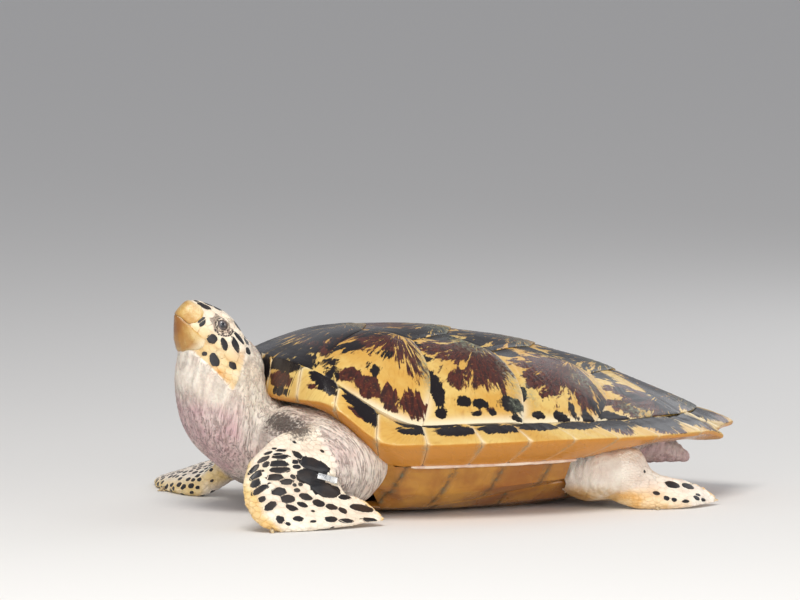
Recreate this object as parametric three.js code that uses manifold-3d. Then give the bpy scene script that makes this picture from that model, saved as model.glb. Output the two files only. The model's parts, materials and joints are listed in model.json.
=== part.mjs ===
// Hawksbill sea turtle, resting on its belly with its head raised. Millimetres.
// +X runs from head to tail, -Y is the turtle's left side and +Z is up. The origin is
// on the ground below the crown of the shell, in the flat of the plastron.
import * as THREE from 'three';
import { mergeVertices } from 'three/addons/utils/BufferGeometryUtils.js';
import Module from 'manifold-3d';

const wasm = await Module();
wasm.setup();

// ---- driving dimensions -------------------------------------------------------------

const GAP = 0.3;                 // clearance between neighbouring pieces
const CUT = 0.5;                 // how far a piece is grown before it cuts its neighbour
const STIFFNESS = 0.02;          // steadies a corner whose faces are all alike
const LONGEST_SHIFT = 4;         // a corner moves this many clearances at most

// Plan outlines of the carapace, measured from the crown: superellipses, one for the
// outer rim and one for the seam where the marginal scutes meet the dome.
const RIM = { front: 346, rear: 497, side: 303, frontFullness: 3, rearFullness: 1.75 };
const DOME = { front: 332, rear: 453, side: 252, frontFullness: 3, rearFullness: 1.6 };
const CROWN_HEIGHT = 298.5;      // top of the shell above the ground
const CROWN_SLOPE = 0.12;        // fall of the back towards the tail
const SIDE_POWER = 1.75;         // how round the dome falls: higher is flatter on top
const FRONT_POWER = 2.8;
const REAR_POWER = 1.95;

const SCUTE_DEPTH = 5;           // scute below the nominal surface
const TRUNK_DEPTH = 11;          // top of the trunk below the nominal surface
const LIFT_FRONT = -1.2;         // a scute's front edge dips under the one ahead
const LIFT_REAR = 2.6;           // and its rear edge stands proud of the one behind

// Angles of the seams between the marginal scutes, from the head round to the tail.
const MARGINAL_SEAMS = [8, 25.5, 38.6, 50.2, 64, 81.2, 97.5, 113.6, 129, 143.2, 159.4, 169.8, 180];
const SEAM_SKEW = 3.5;           // inner ends lie this many degrees nearer the head
const MARGINAL_STEPS = 3;        // stretches along each marginal
const RIM_EDGE = 6;              // thickness of the rim
const RIM_CAMBER = 2.5;          // swell of a marginal's upper and under faces
// How far the rear corner of each marginal, and last of a supracaudal, stands out.
const RIM_POINTS = [0, 0, 0, 0, 0, 0, 3, 5, 6, 6, 11, 31];
const LOW_POINT = { marginal: 11, drop: 15 }; // the longest point hangs a little

// Vertebral scutes: rear points on the midline, and the corners of their hexagons.
const VERTEBRAL_TIPS = [-149, 5, 158, 305];
const TIP_SWEEP = 28;
const TIP_HALF_WIDTHS = [58, 52, 46, 40];
const VERTEBRAL_CORNERS = [[-102, -100], [40, -100], [224, -90]];
// Where the costal seams reach the marginals, counted in marginals from the nuchal.
const COSTAL_ENDS = [4 / 3, 4, 19 / 3, 25 / 3, 32 / 3];
const COSTAL_BULGE = 26;         // costal seams bow towards the tail

const PLASTRON = { front: 300, rear: 350, side: 186, frontFullness: 2.4, rearFullness: 2.4 };
const PLASTRON_THICKNESS = 11;
const PLASTRON_FLAT = 0.52;      // share of the plastron that lies on the ground
const FLAT_HUB = [15, 6, 0];     // where the facets of that flat meet
const UNDER_INSET = 8;           // the marginals' underside ends this far inside the dome's edge
const TRUNK_INSET = { rim: 34, plastron: 20, belly: 6 }; // the trunk's margins inside the shell
const BRIDGE = { from: 42, to: 124, stations: 9, thickness: 10, bulge: 9 };

// Both bulges of the shoulder: the arm's root, and the slack skin between it and the neck.
const SHOULDER = { centre: [-266, -156, 102], radii: [108, 104, 90] };
const SHOULDER_FRONT = { centre: [-308, -112, 142], radii: [74, 88, 52] };
const THIGH = { centre: [222, -146, 62], radii: [92, 82, 57] };

const HEAD_TIP = [-491, 0, 332]; // where the upper and lower beak meet in front
const HEAD_PITCH = 43;           // degrees that the head is raised
const EYE = { back: 59, out: 33.5, up: 41, radius: 13 };

const TAG = {
  length: 38, width: 10, sheet: 1.2, jaw: 11,
  at: [-301, -272, 77], out: [0.9, -0.06, -0.26], square: [-0.16, -0.95, 0.22],
};

const CLAWS = { front: { share: 0.6, size: 17 }, hind: { share: 0.62, size: 15 } };
const CLAW_SWEEP = 0.9;          // how far a claw leans towards the flipper's tip
const CLAW_ROUNDNESS = 0.3;      // base radius over length

// ---- small helpers ------------------------------------------------------------------

const { smoothstep, lerp, degToRad } = THREE.MathUtils;
const point = (x, y, z) => new THREE.Vector3(x, y, z);
const flat = (x, y) => new THREE.Vector2(x, y);
const sumOf = (points) => points.reduce((sum, p) => sum.add(p), point(0, 0, 0));

// A closed mesh through a row of rings; a ring of one point is a pole, and open ends
// are closed by a fan round their middle.
function skin(rings) {
  const rows = [...rings];
  const middle = (ring) => sumOf(ring).divideScalar(ring.length);
  if (rows[0].length > 1) rows.unshift([middle(rows[0])]);
  if (rows.at(-1).length > 1) rows.push([middle(rows.at(-1))]);
  const starts = [];
  let total = 0;
  for (const row of rows) {
    starts.push(total);
    total += row.length;
  }
  const index = [];
  for (let r = 0; r + 1 < rows.length; r += 1) {
    const a = rows[r].length;
    const b = rows[r + 1].length;
    const count = Math.max(a, b);
    for (let i = 0; i < count; i += 1) {
      const next = (i + 1) % count;
      const a0 = starts[r] + (a > 1 ? i : 0);
      const a1 = starts[r] + (a > 1 ? next : 0);
      const b0 = starts[r + 1] + (b > 1 ? i : 0);
      const b1 = starts[r + 1] + (b > 1 ? next : 0);
      if (b > 1) index.push(a0, b1, b0);
      if (a > 1) index.push(a0, a1, b1);
    }
  }
  const geometry = new THREE.BufferGeometry().setFromPoints(rows.flat());
  geometry.setIndex(index);
  return facingOut(geometry);
}

function facingOut(geometry) {
  const index = geometry.index.array;
  const corner = [point(0, 0, 0), point(0, 0, 0), point(0, 0, 0)];
  let volume = 0;
  for (let i = 0; i < index.length; i += 3) {
    corner.forEach((p, k) => p.fromBufferAttribute(geometry.attributes.position, index[i + k]));
    volume += corner[0].dot(corner[1].clone().cross(corner[2]));
  }
  if (volume < 0) geometry.setIndex(Array.from(index).reverse());
  return geometry;
}

function welded(geometry) {
  const bare = geometry.clone();
  bare.deleteAttribute('normal');
  bare.deleteAttribute('uv');
  return mergeVertices(bare, 1e-3);
}

// The same mesh with every face moved out by a distance, for cutting a clearance.
function grown(geometry, distance) {
  const big = welded(geometry);
  const { position } = big.attributes;
  const corner = (i) => point(0, 0, 0).fromBufferAttribute(position, i);
  const corners = Array.from({ length: position.count }, (_, i) => corner(i));
  const normals = corners.map(() => []);
  const index = big.index.array;
  for (let i = 0; i < index.length; i += 3) {
    const [a, b, c] = [index[i], index[i + 1], index[i + 2]];
    const normal = corners[b].clone().sub(corners[a]).cross(corners[c].clone().sub(corners[a])).normalize();
    [a, b, c].forEach((k) => normals[k].push(normal));
  }
  corners.forEach((from, i) => {
    const to = from.clone().add(shiftFor(normals[i], distance));
    position.setXYZ(i, to.x, to.y, to.z);
  });
  return big;
}

// The shift that moves a corner's faces out by a distance: least squares over them.
function shiftFor(normals, distance) {
  const sum = (f) => normals.reduce((total, n) => total + f(n), 0);
  const xy = sum((n) => n.x * n.y);
  const yz = sum((n) => n.y * n.z);
  const zx = sum((n) => n.z * n.x);
  const [xx, yy, zz] = ['x', 'y', 'z'].map((axis) => sum((n) => n[axis] ** 2) + STIFFNESS);
  const system = new THREE.Matrix3().set(xx, xy, zx, xy, yy, yz, zx, yz, zz).invert();
  const pull = normals.reduce((total, n) => total.addScaledVector(n, distance), point(0, 0, 0));
  return pull.applyMatrix3(system).clampLength(0, LONGEST_SHIFT * distance);
}

function solid(geometry) {
  const bare = welded(geometry);
  const vertProperties = new Float32Array(bare.attributes.position.array);
  const triVerts = new Uint32Array(bare.index.array);
  return new wasm.Manifold(new wasm.Mesh({ numProp: 3, vertProperties, triVerts }));
}

// The largest piece of a cut solid, as a three.js geometry.
function geometryOf(cut) {
  const pieces = cut.decompose().sort((a, b) => b.volume() - a.volume());
  const mesh = pieces[0].getMesh();
  const geometry = new THREE.BufferGeometry();
  geometry.setAttribute('position', new THREE.BufferAttribute(new Float32Array(mesh.vertProperties), 3));
  geometry.setIndex(Array.from(mesh.triVerts));
  return geometry;
}

function clearOf(body, cutters) {
  return cutters.reduce((rest, cutter) => rest.subtract(solid(grown(cutter, CUT))), body);
}

function mirrored(geometry) {
  const other = geometry.clone().scale(1, -1, 1);
  other.setIndex(Array.from(other.index.array).reverse());
  return other;
}

// ---- the shell's surfaces -----------------------------------------------------------

// Distance from the crown to an outline; angle 0 points to the head, 180 to the tail.
function reach(outline, angle) {
  const ahead = Math.cos(angle) > 0;
  const length = ahead ? outline.front : outline.rear;
  const fullness = ahead ? outline.frontFullness : outline.rearFullness;
  const along = Math.abs(Math.cos(angle)) / length;
  const across = Math.abs(Math.sin(angle)) / outline.side;
  return (along ** fullness + across ** fullness) ** (-1 / fullness);
}

const rimHeight = (x) => 205 - 71 * smoothstep(x, -310, -205) - 14 * smoothstep(x, 50, 500);
const domeEdgeHeight = (x) => 268 - 106 * smoothstep(x, -345, -150) - 15 * smoothstep(x, -150, 453);
const underDepth = (x) => lerp(11, 44, smoothstep(x, -262, -165)) - 24 * smoothstep(x, 120, 330);

function domeHeight(x, y) {
  const angle = Math.atan2(Math.abs(y), -x);
  const edge = reach(DOME, angle);
  const edgeX = -edge * Math.cos(angle);
  const drop = CROWN_HEIGHT - CROWN_SLOPE * edgeX - domeEdgeHeight(edgeX);
  const endPower = x < 0 ? FRONT_POWER : REAR_POWER;
  const power = lerp(SIDE_POWER, endPower, Math.cos(angle) ** 2);
  return CROWN_HEIGHT - CROWN_SLOPE * x - drop * (Math.hypot(x, y) / edge) ** power;
}

// A point above (or below) the dome, measured square to its surface.
function onDome(x, y, offset) {
  const step = 1;
  const slopeX = (domeHeight(x + step, y) - domeHeight(x - step, y)) / (2 * step);
  const slopeY = (domeHeight(x, y + step) - domeHeight(x, y - step)) / (2 * step);
  const out = point(-slopeX, -slopeY, 1).normalize();
  return point(x, y, domeHeight(x, y)).addScaledVector(out, offset);
}

const polar = (radius, angle) => flat(-radius * Math.cos(angle), -radius * Math.sin(angle));

function seamAngles(mark) {
  const before = Math.floor(mark);
  const share = mark - before;
  const at = (seam) => (seam < 0 ? -MARGINAL_SEAMS[0] : MARGINAL_SEAMS[seam]);
  const outer = lerp(at(before), at(Math.min(before + 1, 12)), share);
  const inner = outer - SEAM_SKEW * Math.sin(degToRad(outer));
  return { outer: degToRad(outer), inner: degToRad(inner) };
}

function domeEdge(mark) {
  const angle = seamAngles(mark).inner;
  return polar(reach(DOME, angle), angle);
}

// ---- vertebral and costal scutes ----------------------------------------------------

function run(from, to, steps, bulge = 0) {
  const points = [];
  for (let i = 0; i < steps; i += 1) {
    const share = i / steps;
    const p = from.clone().lerp(to, share);
    p.x += bulge * Math.sin(Math.PI * share);
    points.push(p);
  }
  return points;
}

function domeArc(fromMark, toMark) {
  const steps = Math.round(Math.abs(toMark - fromMark) * MARGINAL_STEPS);
  const marks = Array.from({ length: steps }, (_, i) => lerp(fromMark, toMark, i / steps));
  return marks.map((mark) => domeEdge(mark));
}

const tips = VERTEBRAL_TIPS.map((x) => flat(x, 0));
const tipSides = VERTEBRAL_TIPS.map((x, i) => flat(x - TIP_SWEEP, -TIP_HALF_WIDTHS[i]));
const corners = VERTEBRAL_CORNERS.map(([x, y]) => flat(x, y));
const ends = COSTAL_ENDS.map((mark) => domeEdge(mark));
const costalSeam = (k) => [...run(corners[k], ends[k + 1], 4, COSTAL_BULGE), ends[k + 1]];

// The left half of each vertebral's outline, from its front point to its rear point.
function vertebralHalf(number) {
  if (number === 1) {
    const front = [domeEdge(-0.5), ...domeArc(0, COSTAL_ENDS[0])];
    return [...front, ...run(ends[0], tipSides[0], 3), ...run(tipSides[0], tips[0], 2), tips[0]];
  }
  const start = [...run(tips[number - 2], tipSides[number - 2], 2)];
  if (number === 5) {
    const rear = domeArc(COSTAL_ENDS[4], 12);
    return [...start, ...run(tipSides[3], ends[4], 3), ...rear, domeEdge(12)];
  }
  const side = [
    ...run(tipSides[number - 2], corners[number - 2], 2),
    ...run(corners[number - 2], tipSides[number - 1], 2),
  ];
  return [...start, ...side, ...run(tipSides[number - 1], tips[number - 1], 2), tips[number - 1]];
}

function vertebralOutline(number) {
  const half = vertebralHalf(number);
  const other = half.slice(1, -1).reverse().map((p) => flat(p.x, -p.y));
  return [...half, ...other];
}

function costalOutline(number) {
  const top = number === 1 ? run(ends[0], tipSides[0], 3) : run(corners[number - 2], tipSides[number - 1], 2);
  const edge = domeArc(COSTAL_ENDS[number], COSTAL_ENDS[number - 1]);
  const rear = number === 4 ? run(tipSides[3], ends[4], 3) : [
    ...run(tipSides[number - 1], corners[number - 1], 2),
    ...costalSeam(number - 1).slice(0, -1),
  ];
  const front = number === 1 ? [] : costalSeam(number - 2).reverse().slice(0, -1);
  return [...top, ...rear, ...edge, ...front];
}

function inset(outline, distance) {
  const count = outline.length;
  const area = outline.reduce((sum, p, i) => sum + p.cross(outline[(i + 1) % count]), 0);
  const inward = (from, to) => flat(from.y - to.y, to.x - from.x).normalize().multiplyScalar(Math.sign(area));
  return outline.map((p, i) => {
    const before = inward(outline[(i + count - 1) % count], p);
    const after = inward(p, outline[(i + 1) % count]);
    return p.clone().addScaledVector(before.add(after).normalize(), distance);
  });
}

function domeScute(outline) {
  const edge = inset(outline, GAP);
  const middle = edge.reduce((sum, p) => sum.add(p), flat(0, 0)).divideScalar(edge.length);
  const front = Math.min(...edge.map((p) => p.x));
  const rear = Math.max(...edge.map((p) => p.x));
  const lift = (p) => lerp(LIFT_FRONT, LIFT_REAR, (p.x - front) / (rear - front));
  const under = () => -SCUTE_DEPTH;
  const ring = (share, height) => edge.map((p) => {
    const q = middle.clone().lerp(p, share);
    return onDome(q.x, q.y, height(q));
  });
  const top = [[onDome(middle.x, middle.y, lift(middle))], ring(0.45, lift), ring(0.8, lift), ring(1, lift)];
  const bottom = [ring(1, under), ring(0.5, under), [onDome(middle.x, middle.y, under())]];
  return skin([...top, ...bottom]);
}

// ---- marginal scutes, nuchal and supracaudals ---------------------------------------

// The section of the rim at a seam mark: dome edge, rim, underside and inner wall.
function rimSection(mark, share, rimPoint, turn) {
  const { inner, outer } = seamAngles(mark);
  const innerAngle = inner + turn;
  const outerAngle = outer + turn;
  const seam = polar(reach(DOME, innerAngle) + GAP, innerAngle);
  const lift = lerp(LIFT_FRONT, LIFT_REAR, share);
  const rimReach = reach(RIM, outerAngle) + rimPoint.out * share ** 3;
  const rim = polar(rimReach, outerAngle);
  const rimZ = rimHeight(rim.x) - rimPoint.drop * share ** 3;
  const seamPoint = onDome(seam.x, seam.y, 0);
  const across = point(Math.sin(innerAngle), -Math.cos(innerAngle), 0);
  const out = onDome(seam.x, seam.y, 1).sub(seamPoint);
  out.addScaledVector(across, -out.dot(across)).normalize();
  const top = seamPoint.clone().addScaledVector(out, lift);
  const edge = point(rim.x, rim.y, rimZ + lift / 2);
  const camber = top.clone().lerp(edge, 0.5).add(point(0, 0, RIM_CAMBER));
  const lower = polar(rimReach - RIM_CAMBER, outerAngle);
  const edgeUnder = point(lower.x, lower.y, rimZ - RIM_EDGE);
  const foot = underside(innerAngle);
  const hollow = edgeUnder.clone().lerp(foot, 0.5).add(point(0, 0, -RIM_CAMBER));
  const wall = seamPoint.clone().addScaledVector(out, -SCUTE_DEPTH - 1);
  return [top, camber, edge, edgeUnder, hollow, foot, wall];
}

// The inner edge of the marginals' underside, where skin or bridge begins.
function underside(angle) {
  const foot = polar(reach(DOME, angle) - UNDER_INSET, angle);
  return point(foot.x, foot.y, rimHeight(foot.x) - underDepth(foot.x));
}

function rimPiece(number) {
  const drop = number === LOW_POINT.marginal ? LOW_POINT.drop : 0;
  const rimPoint = { out: RIM_POINTS[number - 1], drop };
  const sections = [];
  const turn = GAP / RIM.side;
  for (let i = 0; i <= MARGINAL_STEPS; i += 1) {
    const share = i / MARGINAL_STEPS;
    const nudge = lerp(turn, -turn, share);
    sections.push(rimSection(number - 1 + share, share, rimPoint, nudge));
  }
  return skin(sections);
}

// The nuchal crosses the midline: its left half continues into the mirrored right half.
function nuchalPiece() {
  const turn = GAP / RIM.side;
  const plain = { out: 0, drop: 0 };
  const left = [rimSection(-0.5, 0.5, plain, 0), rimSection(0, 0.5, plain, -turn)];
  const right = left[1].map((p) => point(p.x, -p.y, p.z));
  return skin([right, left[0].map((p) => point(p.x, 0, p.z)), left[1]]);
}

// ---- plastron and bridges -----------------------------------------------------------

const plastronRise = (x) => lerp(14, 48, smoothstep(x, -150, 180));

function plastronPiece() {
  const count = 24;
  const angles = Array.from({ length: count }, (_, i) => 2 * Math.PI * i / count);
  const ring = (share, height) => angles.map((angle) => {
    const p = polar(share * reach(PLASTRON, angle), angle);
    return point(p.x, p.y, height(p.x));
  });
  const thick = PLASTRON_THICKNESS;
  const below = [ring(0.3, () => 0), ring(PLASTRON_FLAT, () => 0), ring(0.8, (x) => 0.34 * plastronRise(x))];
  const above = [ring(0.97, (x) => plastronRise(x) + thick), ring(0.55, () => thick + 2)];
  return skin([[point(...FLAT_HUB)], ...below, ring(1, plastronRise), ...above, [point(0, 0, thick + 2)]]);
}

function bridgePiece() {
  const sections = [];
  for (let i = 0; i < BRIDGE.stations; i += 1) {
    const angle = degToRad(lerp(BRIDGE.from, BRIDGE.to, i / (BRIDGE.stations - 1)));
    const out = point(-Math.cos(angle), -Math.sin(angle), 0);
    const top = underside(angle).addScaledVector(out, -2).add(point(0, 0, -4 * GAP));
    const edge = polar(reach(PLASTRON, angle) + 2, angle);
    const foot = point(edge.x, edge.y, plastronRise(edge.x) + 1);
    const swell = out.clone().setZ(-1).multiplyScalar(BRIDGE.bulge);
    const belly = top.clone().lerp(foot, 0.55).add(swell);
    const inward = (p) => p.clone().addScaledVector(out, -BRIDGE.thickness);
    const innerFoot = foot.clone().add(point(0, 0, BRIDGE.thickness + 6));
    sections.push([top, belly, foot, innerFoot, inward(belly).add(point(0, 0, 8)), inward(top)]);
  }
  return skin(sections);
}

// ---- flesh --------------------------------------------------------------------------

// Sections between two rails: each has a leading and a trailing point, and a thickness.
function blade(leading, trailing, thicknesses, stations) {
  const lead = new THREE.CatmullRomCurve3(leading.map((p) => point(...p)));
  const trail = new THREE.CatmullRomCurve3(trailing.map((p) => point(...p)));
  const thickness = new THREE.SplineCurve(thicknesses.map((t, i) => flat(i, t)));
  const profile = [[0, 0], [0.08, 0.34], [0.28, 0.5], [0.55, 0.38], [0.82, 0.17], [1, 0.06]];
  const outline = [...profile, ...profile.slice(1).reverse().map(([c, t]) => [c, -t])];
  const middle = (t) => lead.getPoint(t).lerp(trail.getPoint(t), 0.5);
  const sections = [];
  for (let i = 0; i <= stations; i += 1) {
    const t = i / stations;
    const from = lead.getPoint(t);
    const chord = trail.getPoint(t).sub(from);
    const along = middle(Math.min(t + 0.04, 1)).sub(middle(Math.max(t - 0.04, 0)));
    const out = chord.clone().cross(along).normalize();
    const depth = thickness.getPoint(t).y;
    const place = ([c, h]) => from.clone().addScaledVector(chord, c).addScaledVector(out, h * depth);
    sections.push(outline.map(place));
  }
  return skin(sections);
}

// Superelliptic sections between a front and a back rail in the midplane.
function fleshTube(frontRail, backRail, halfWidths, stations, sides, fullness) {
  const front = new THREE.CatmullRomCurve3(frontRail.map(([x, z]) => point(x, 0, z)));
  const back = new THREE.CatmullRomCurve3(backRail.map(([x, z]) => point(x, 0, z)));
  const width = new THREE.SplineCurve(halfWidths.map((w, i) => flat(i, w)));
  const sections = [];
  for (let i = 0; i <= stations; i += 1) {
    const t = i / stations;
    const middle = front.getPoint(t).lerp(back.getPoint(t), 0.5);
    const half = front.getPoint(t).sub(middle);
    const across = point(0, width.getPoint(t).y, 0);
    sections.push(Array.from({ length: sides }, (_, k) => {
      const angle = 2 * Math.PI * k / sides;
      const bulge = (v) => Math.sign(v) * Math.abs(v) ** (2 / fullness);
      const p = middle.clone().addScaledVector(half, bulge(Math.cos(angle)));
      return p.addScaledVector(across, bulge(Math.sin(angle)));
    }));
  }
  return skin(sections);
}

function ellipsoid(centre, radii, across, down) {
  const ball = new THREE.SphereGeometry(1, across, down);
  return welded(ball.scale(...radii).translate(...centre));
}

// The trunk fills the shell, a little inside the scutes, bridges and plastron.
function trunkCore() {
  const count = 20;
  const angles = Array.from({ length: count }, (_, i) => 2 * Math.PI * i / count);
  const onTop = (share) => angles.map((angle) => {
    const p = polar(share * reach(DOME, angle), angle);
    return onDome(p.x, p.y, -TRUNK_DEPTH);
  });
  const side = angles.map((angle) => {
    const foot = underside(angle);
    const p = polar(reach(DOME, angle) - TRUNK_INSET.rim, angle);
    return point(p.x, p.y, foot.z - 2);
  });
  const belly = angles.map((angle) => {
    const p = polar(reach(PLASTRON, angle) - TRUNK_INSET.plastron, angle);
    return point(p.x, p.y, plastronRise(p.x) + PLASTRON_THICKNESS + TRUNK_INSET.belly);
  });
  const floor = angles.map((angle) => {
    const p = polar(0.5 * reach(PLASTRON, angle), angle);
    return point(p.x, p.y, PLASTRON_THICKNESS + 1.5 * TRUNK_INSET.belly);
  });
  return skin([onTop(0.3), onTop(0.6), onTop(0.85), onTop(0.94), side, belly, floor]);
}

// Head sections: distance behind the beak tip, top, bottom and half-width.
const HEAD_STATIONS = [
  [-5.5, 27, 9, 6], [-4, 37, 3, 11], [2, 45, -3, 16], [12, 51, -14, 22], [26, 57, -28, 30],
  [42, 63, -38, 37], [60, 68, -42, 43.5], [80, 67, -44, 49], [100, 62, -45, 53], [120, 57, -44, 54],
  [138, 53, -40, 50], [150, 44, -30, 42],
];

function headBody() {
  const sides = 16;
  const fullness = 2.35;
  const bulge = (v) => Math.sign(v) * Math.abs(v) ** (2 / fullness);
  const sections = HEAD_STATIONS.map(([back, top, bottom, half]) => (
    Array.from({ length: sides }, (_, k) => {
      const angle = 2 * Math.PI * k / sides;
      const up = (top + bottom) / 2 + (top - bottom) / 2 * bulge(Math.sin(angle));
      return point(back, half * bulge(Math.cos(angle)), up);
    })
  ));
  return skin(sections);
}

// From the head's own frame (back, across, up from the gape) to its place on the neck.
function raised(geometry) {
  const pitch = new THREE.Matrix4().makeRotationY(degToRad(HEAD_PITCH));
  return geometry.applyMatrix4(pitch).translate(...HEAD_TIP);
}

// A side-view outline in the head's frame, drawn right through it.
function headRegion(outline) {
  const shape = new THREE.Shape(outline.map(([back, up]) => flat(back, up)));
  const block = new THREE.ExtrudeGeometry(shape, { depth: 140, bevelEnabled: false });
  return welded(block.translate(0, 0, -70).rotateX(Math.PI / 2));
}

const UPPER_SHEATH = [
  [-30, 4.5], [0, 5], [19, 5.5], [25, 14], [28, 28], [25, 38], [16, 44], [4, 40], [-30, 44],
];
const LOWER_SHEATH = [
  [-30, 4], [0, 4.5], [19, 5], [55, 3], [60, -8], [57, -18], [47, -29], [36, -60], [-30, -60],
];

const NECK_FRONT = [
  [-481, 292], [-490, 252], [-490, 212], [-482, 169], [-466, 126], [-434, 92], [-396, 62], [-340, 40],
];
const NECK_BACK = [
  [-356, 292], [-336, 265], [-321, 237], [-309, 207], [-290, 178], [-262, 160], [-230, 150], [-190, 145],
];
const NECK_WIDTHS = [34, 54, 73, 87, 98, 107, 118, 120];

const LEFT_FRONT = {
  leading: [
    [-320, -186, 158], [-442, -258, 124], [-477, -298, 76], [-470, -312, 30],
    [-442, -329, 4], [-389, -335, 1], [-315, -329, 4], [-226, -303, 7],
  ],
  trailing: [
    [-250, -196, 120], [-304, -248, 122], [-296, -262, 92], [-286, -264, 66],
    [-276, -264, 54], [-258, -262, 48], [-236, -270, 34], [-218, -296, 13],
  ],
  thicknesses: [62, 50, 36, 30, 26, 21, 14, 5],
};
const RIGHT_FRONT = {
  leading: [
    [-310, 160, 90], [-345, 200, 34], [-378, 214, 5], [-397, 256, 3],
    [-403, 310, 3], [-401, 370, 3], [-380, 440, 4], [-330, 500, 5],
  ],
  trailing: [
    [-250, 170, 140], [-276, 215, 86], [-300, 262, 64], [-314, 310, 54],
    [-318, 360, 43], [-316, 410, 32], [-312, 455, 20], [-306, 494, 9],
  ],
  thicknesses: [62, 48, 36, 30, 26, 20, 13, 5],
};
const HIND = {
  leading: [
    [196, -120, 60], [222, -176, 30], [238, -204, 6], [290, -232, 2], [344, -244, 2], [404, -212, 3],
  ],
  trailing: [
    [290, -110, 96], [296, -160, 82], [304, -186, 60], [346, -186, 50], [392, -190, 34], [424, -196, 7],
  ],
  thicknesses: [64, 52, 38, 26, 16, 5],
};

const TAIL = {
  top: [[310, 112], [372, 112], [420, 92], [446, 66]],
  under: [[310, 50], [372, 52], [414, 52], [440, 50]],
  widths: [56, 44, 30, 12],
};

// ---- flipper tag: a strip of metal bent round the trailing edge ------------------------

function tagStrip() {
  const half = TAG.jaw / 2;
  const inner = half - TAG.sheet;
  const shape = new THREE.Shape();
  shape.moveTo(0, half);
  shape.lineTo(TAG.length - half, half);
  shape.absarc(TAG.length - half, 0, half, Math.PI / 2, -Math.PI / 2, true);
  shape.lineTo(0, -half);
  shape.lineTo(0, -inner);
  shape.lineTo(TAG.length - half, -inner);
  shape.absarc(TAG.length - half, 0, inner, -Math.PI / 2, Math.PI / 2, false);
  shape.lineTo(0, inner);
  const strip = new THREE.ExtrudeGeometry(shape, { depth: TAG.width, bevelEnabled: false, curveSegments: 6 });
  return welded(strip.translate(-TAG.length + half, 0, -TAG.width / 2));
}

// Local X runs out over the trailing edge, local Y is square to the flipper.
function placedTag() {
  const out = point(...TAG.out).normalize();
  const square = point(...TAG.square);
  square.addScaledVector(out, -square.dot(out)).normalize();
  const frame = new THREE.Matrix4().makeBasis(out, square, out.clone().cross(square));
  return tagStrip().applyMatrix4(frame).translate(...TAG.at);
}

// ---- claws --------------------------------------------------------------------------

// A claw on a flipper's leading edge, pointing away from the blade and towards the tip.
function claw(flipper, share, size) {
  const lead = new THREE.CatmullRomCurve3(flipper.leading.map((p) => point(...p)));
  const trail = new THREE.CatmullRomCurve3(flipper.trailing.map((p) => point(...p)));
  const root = lead.getPoint(share);
  const away = root.clone().sub(trail.getPoint(share)).normalize();
  const aim = away.addScaledVector(lead.getTangent(share), CLAW_SWEEP).normalize();
  const cone = new THREE.ConeGeometry(size * CLAW_ROUNDNESS, size, 8, 2);
  const turn = new THREE.Quaternion().setFromUnitVectors(point(0, 1, 0), aim);
  const base = root.addScaledVector(aim, size * 0.25);
  return welded(cone.applyQuaternion(turn).translate(base.x, base.y, base.z));
}

// ---- making the nodes -----------------------------------------------------------------

const HORN = { roughness: 0.25, metalness: 0 };
const SKIN = { roughness: 0.6, metalness: 0 };
const COLOURS = {
  amber: [0xb8792c, HORN], cream: [0xd9b565, HORN], beak: [0xcf9a3a, HORN], claw: [0xb99a5a, HORN],
  hide: [0xd8cdb8, SKIN], scaled: [0xd9c892, SKIN],
  eye: [0x141416, { roughness: 0.05, metalness: 0 }], steel: [0xb9bcc0, { roughness: 0.3, metalness: 1 }],
};

const turtle = new THREE.Group();
const pieces = new Map();

function add(name, geometry, colour) {
  const [color, finish] = COLOURS[colour];
  const mesh = new THREE.Mesh(geometry, new THREE.MeshStandardMaterial({ color, ...finish }));
  mesh.name = name;
  turtle.add(mesh);
  pieces.set(name, geometry);
}

function addPair(name, geometry, colour) {
  add(`${name}_left`, geometry, colour);
  add(`${name}_right`, mirrored(geometry), colour);
}

for (let number = 1; number <= 5; number += 1) {
  add(`vertebral_${number}`, domeScute(vertebralOutline(number)), 'amber');
}
for (let number = 1; number <= 4; number += 1) {
  const costal = domeScute(costalOutline(number));
  add(`costal_left_${number}`, costal, 'amber');
  add(`costal_right_${number}`, mirrored(costal), 'amber');
}
add('nuchal', nuchalPiece(), 'cream');
for (let number = 1; number <= 11; number += 1) {
  const marginal = rimPiece(number);
  add(`marginal_left_${number}`, marginal, 'cream');
  add(`marginal_right_${number}`, mirrored(marginal), 'cream');
}
addPair('supracaudal', rimPiece(12), 'cream');
add('plastron', plastronPiece(), 'cream');
addPair('bridge', bridgePiece(), 'cream');

const shellPieces = [...pieces.entries()].filter(([name]) => !/vertebral|costal/.test(name)).map(([, g]) => g);
const overlapping = (geometry, others) => {
  geometry.computeBoundingBox();
  return others.filter((other) => {
    other.computeBoundingBox();
    return other.boundingBox.intersectsBox(geometry.boundingBox);
  });
};

const ground = welded(new THREE.BoxGeometry(1600, 1600, 100).translate(0, 0, -50));
const aboveGround = (body) => body.subtract(solid(ground));

const core = trunkCore();
const shoulder = ellipsoid(SHOULDER.centre, SHOULDER.radii, 12, 7);
const shoulderFront = ellipsoid(SHOULDER_FRONT.centre, SHOULDER_FRONT.radii, 10, 6);
const shoulders = [shoulder, mirrored(shoulder), shoulderFront, mirrored(shoulderFront)];
const trunkWhole = shoulders.reduce((body, bulge) => body.add(solid(bulge)), solid(core));
add('trunk', geometryOf(clearOf(trunkWhole, shellPieces)), 'hide');

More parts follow.
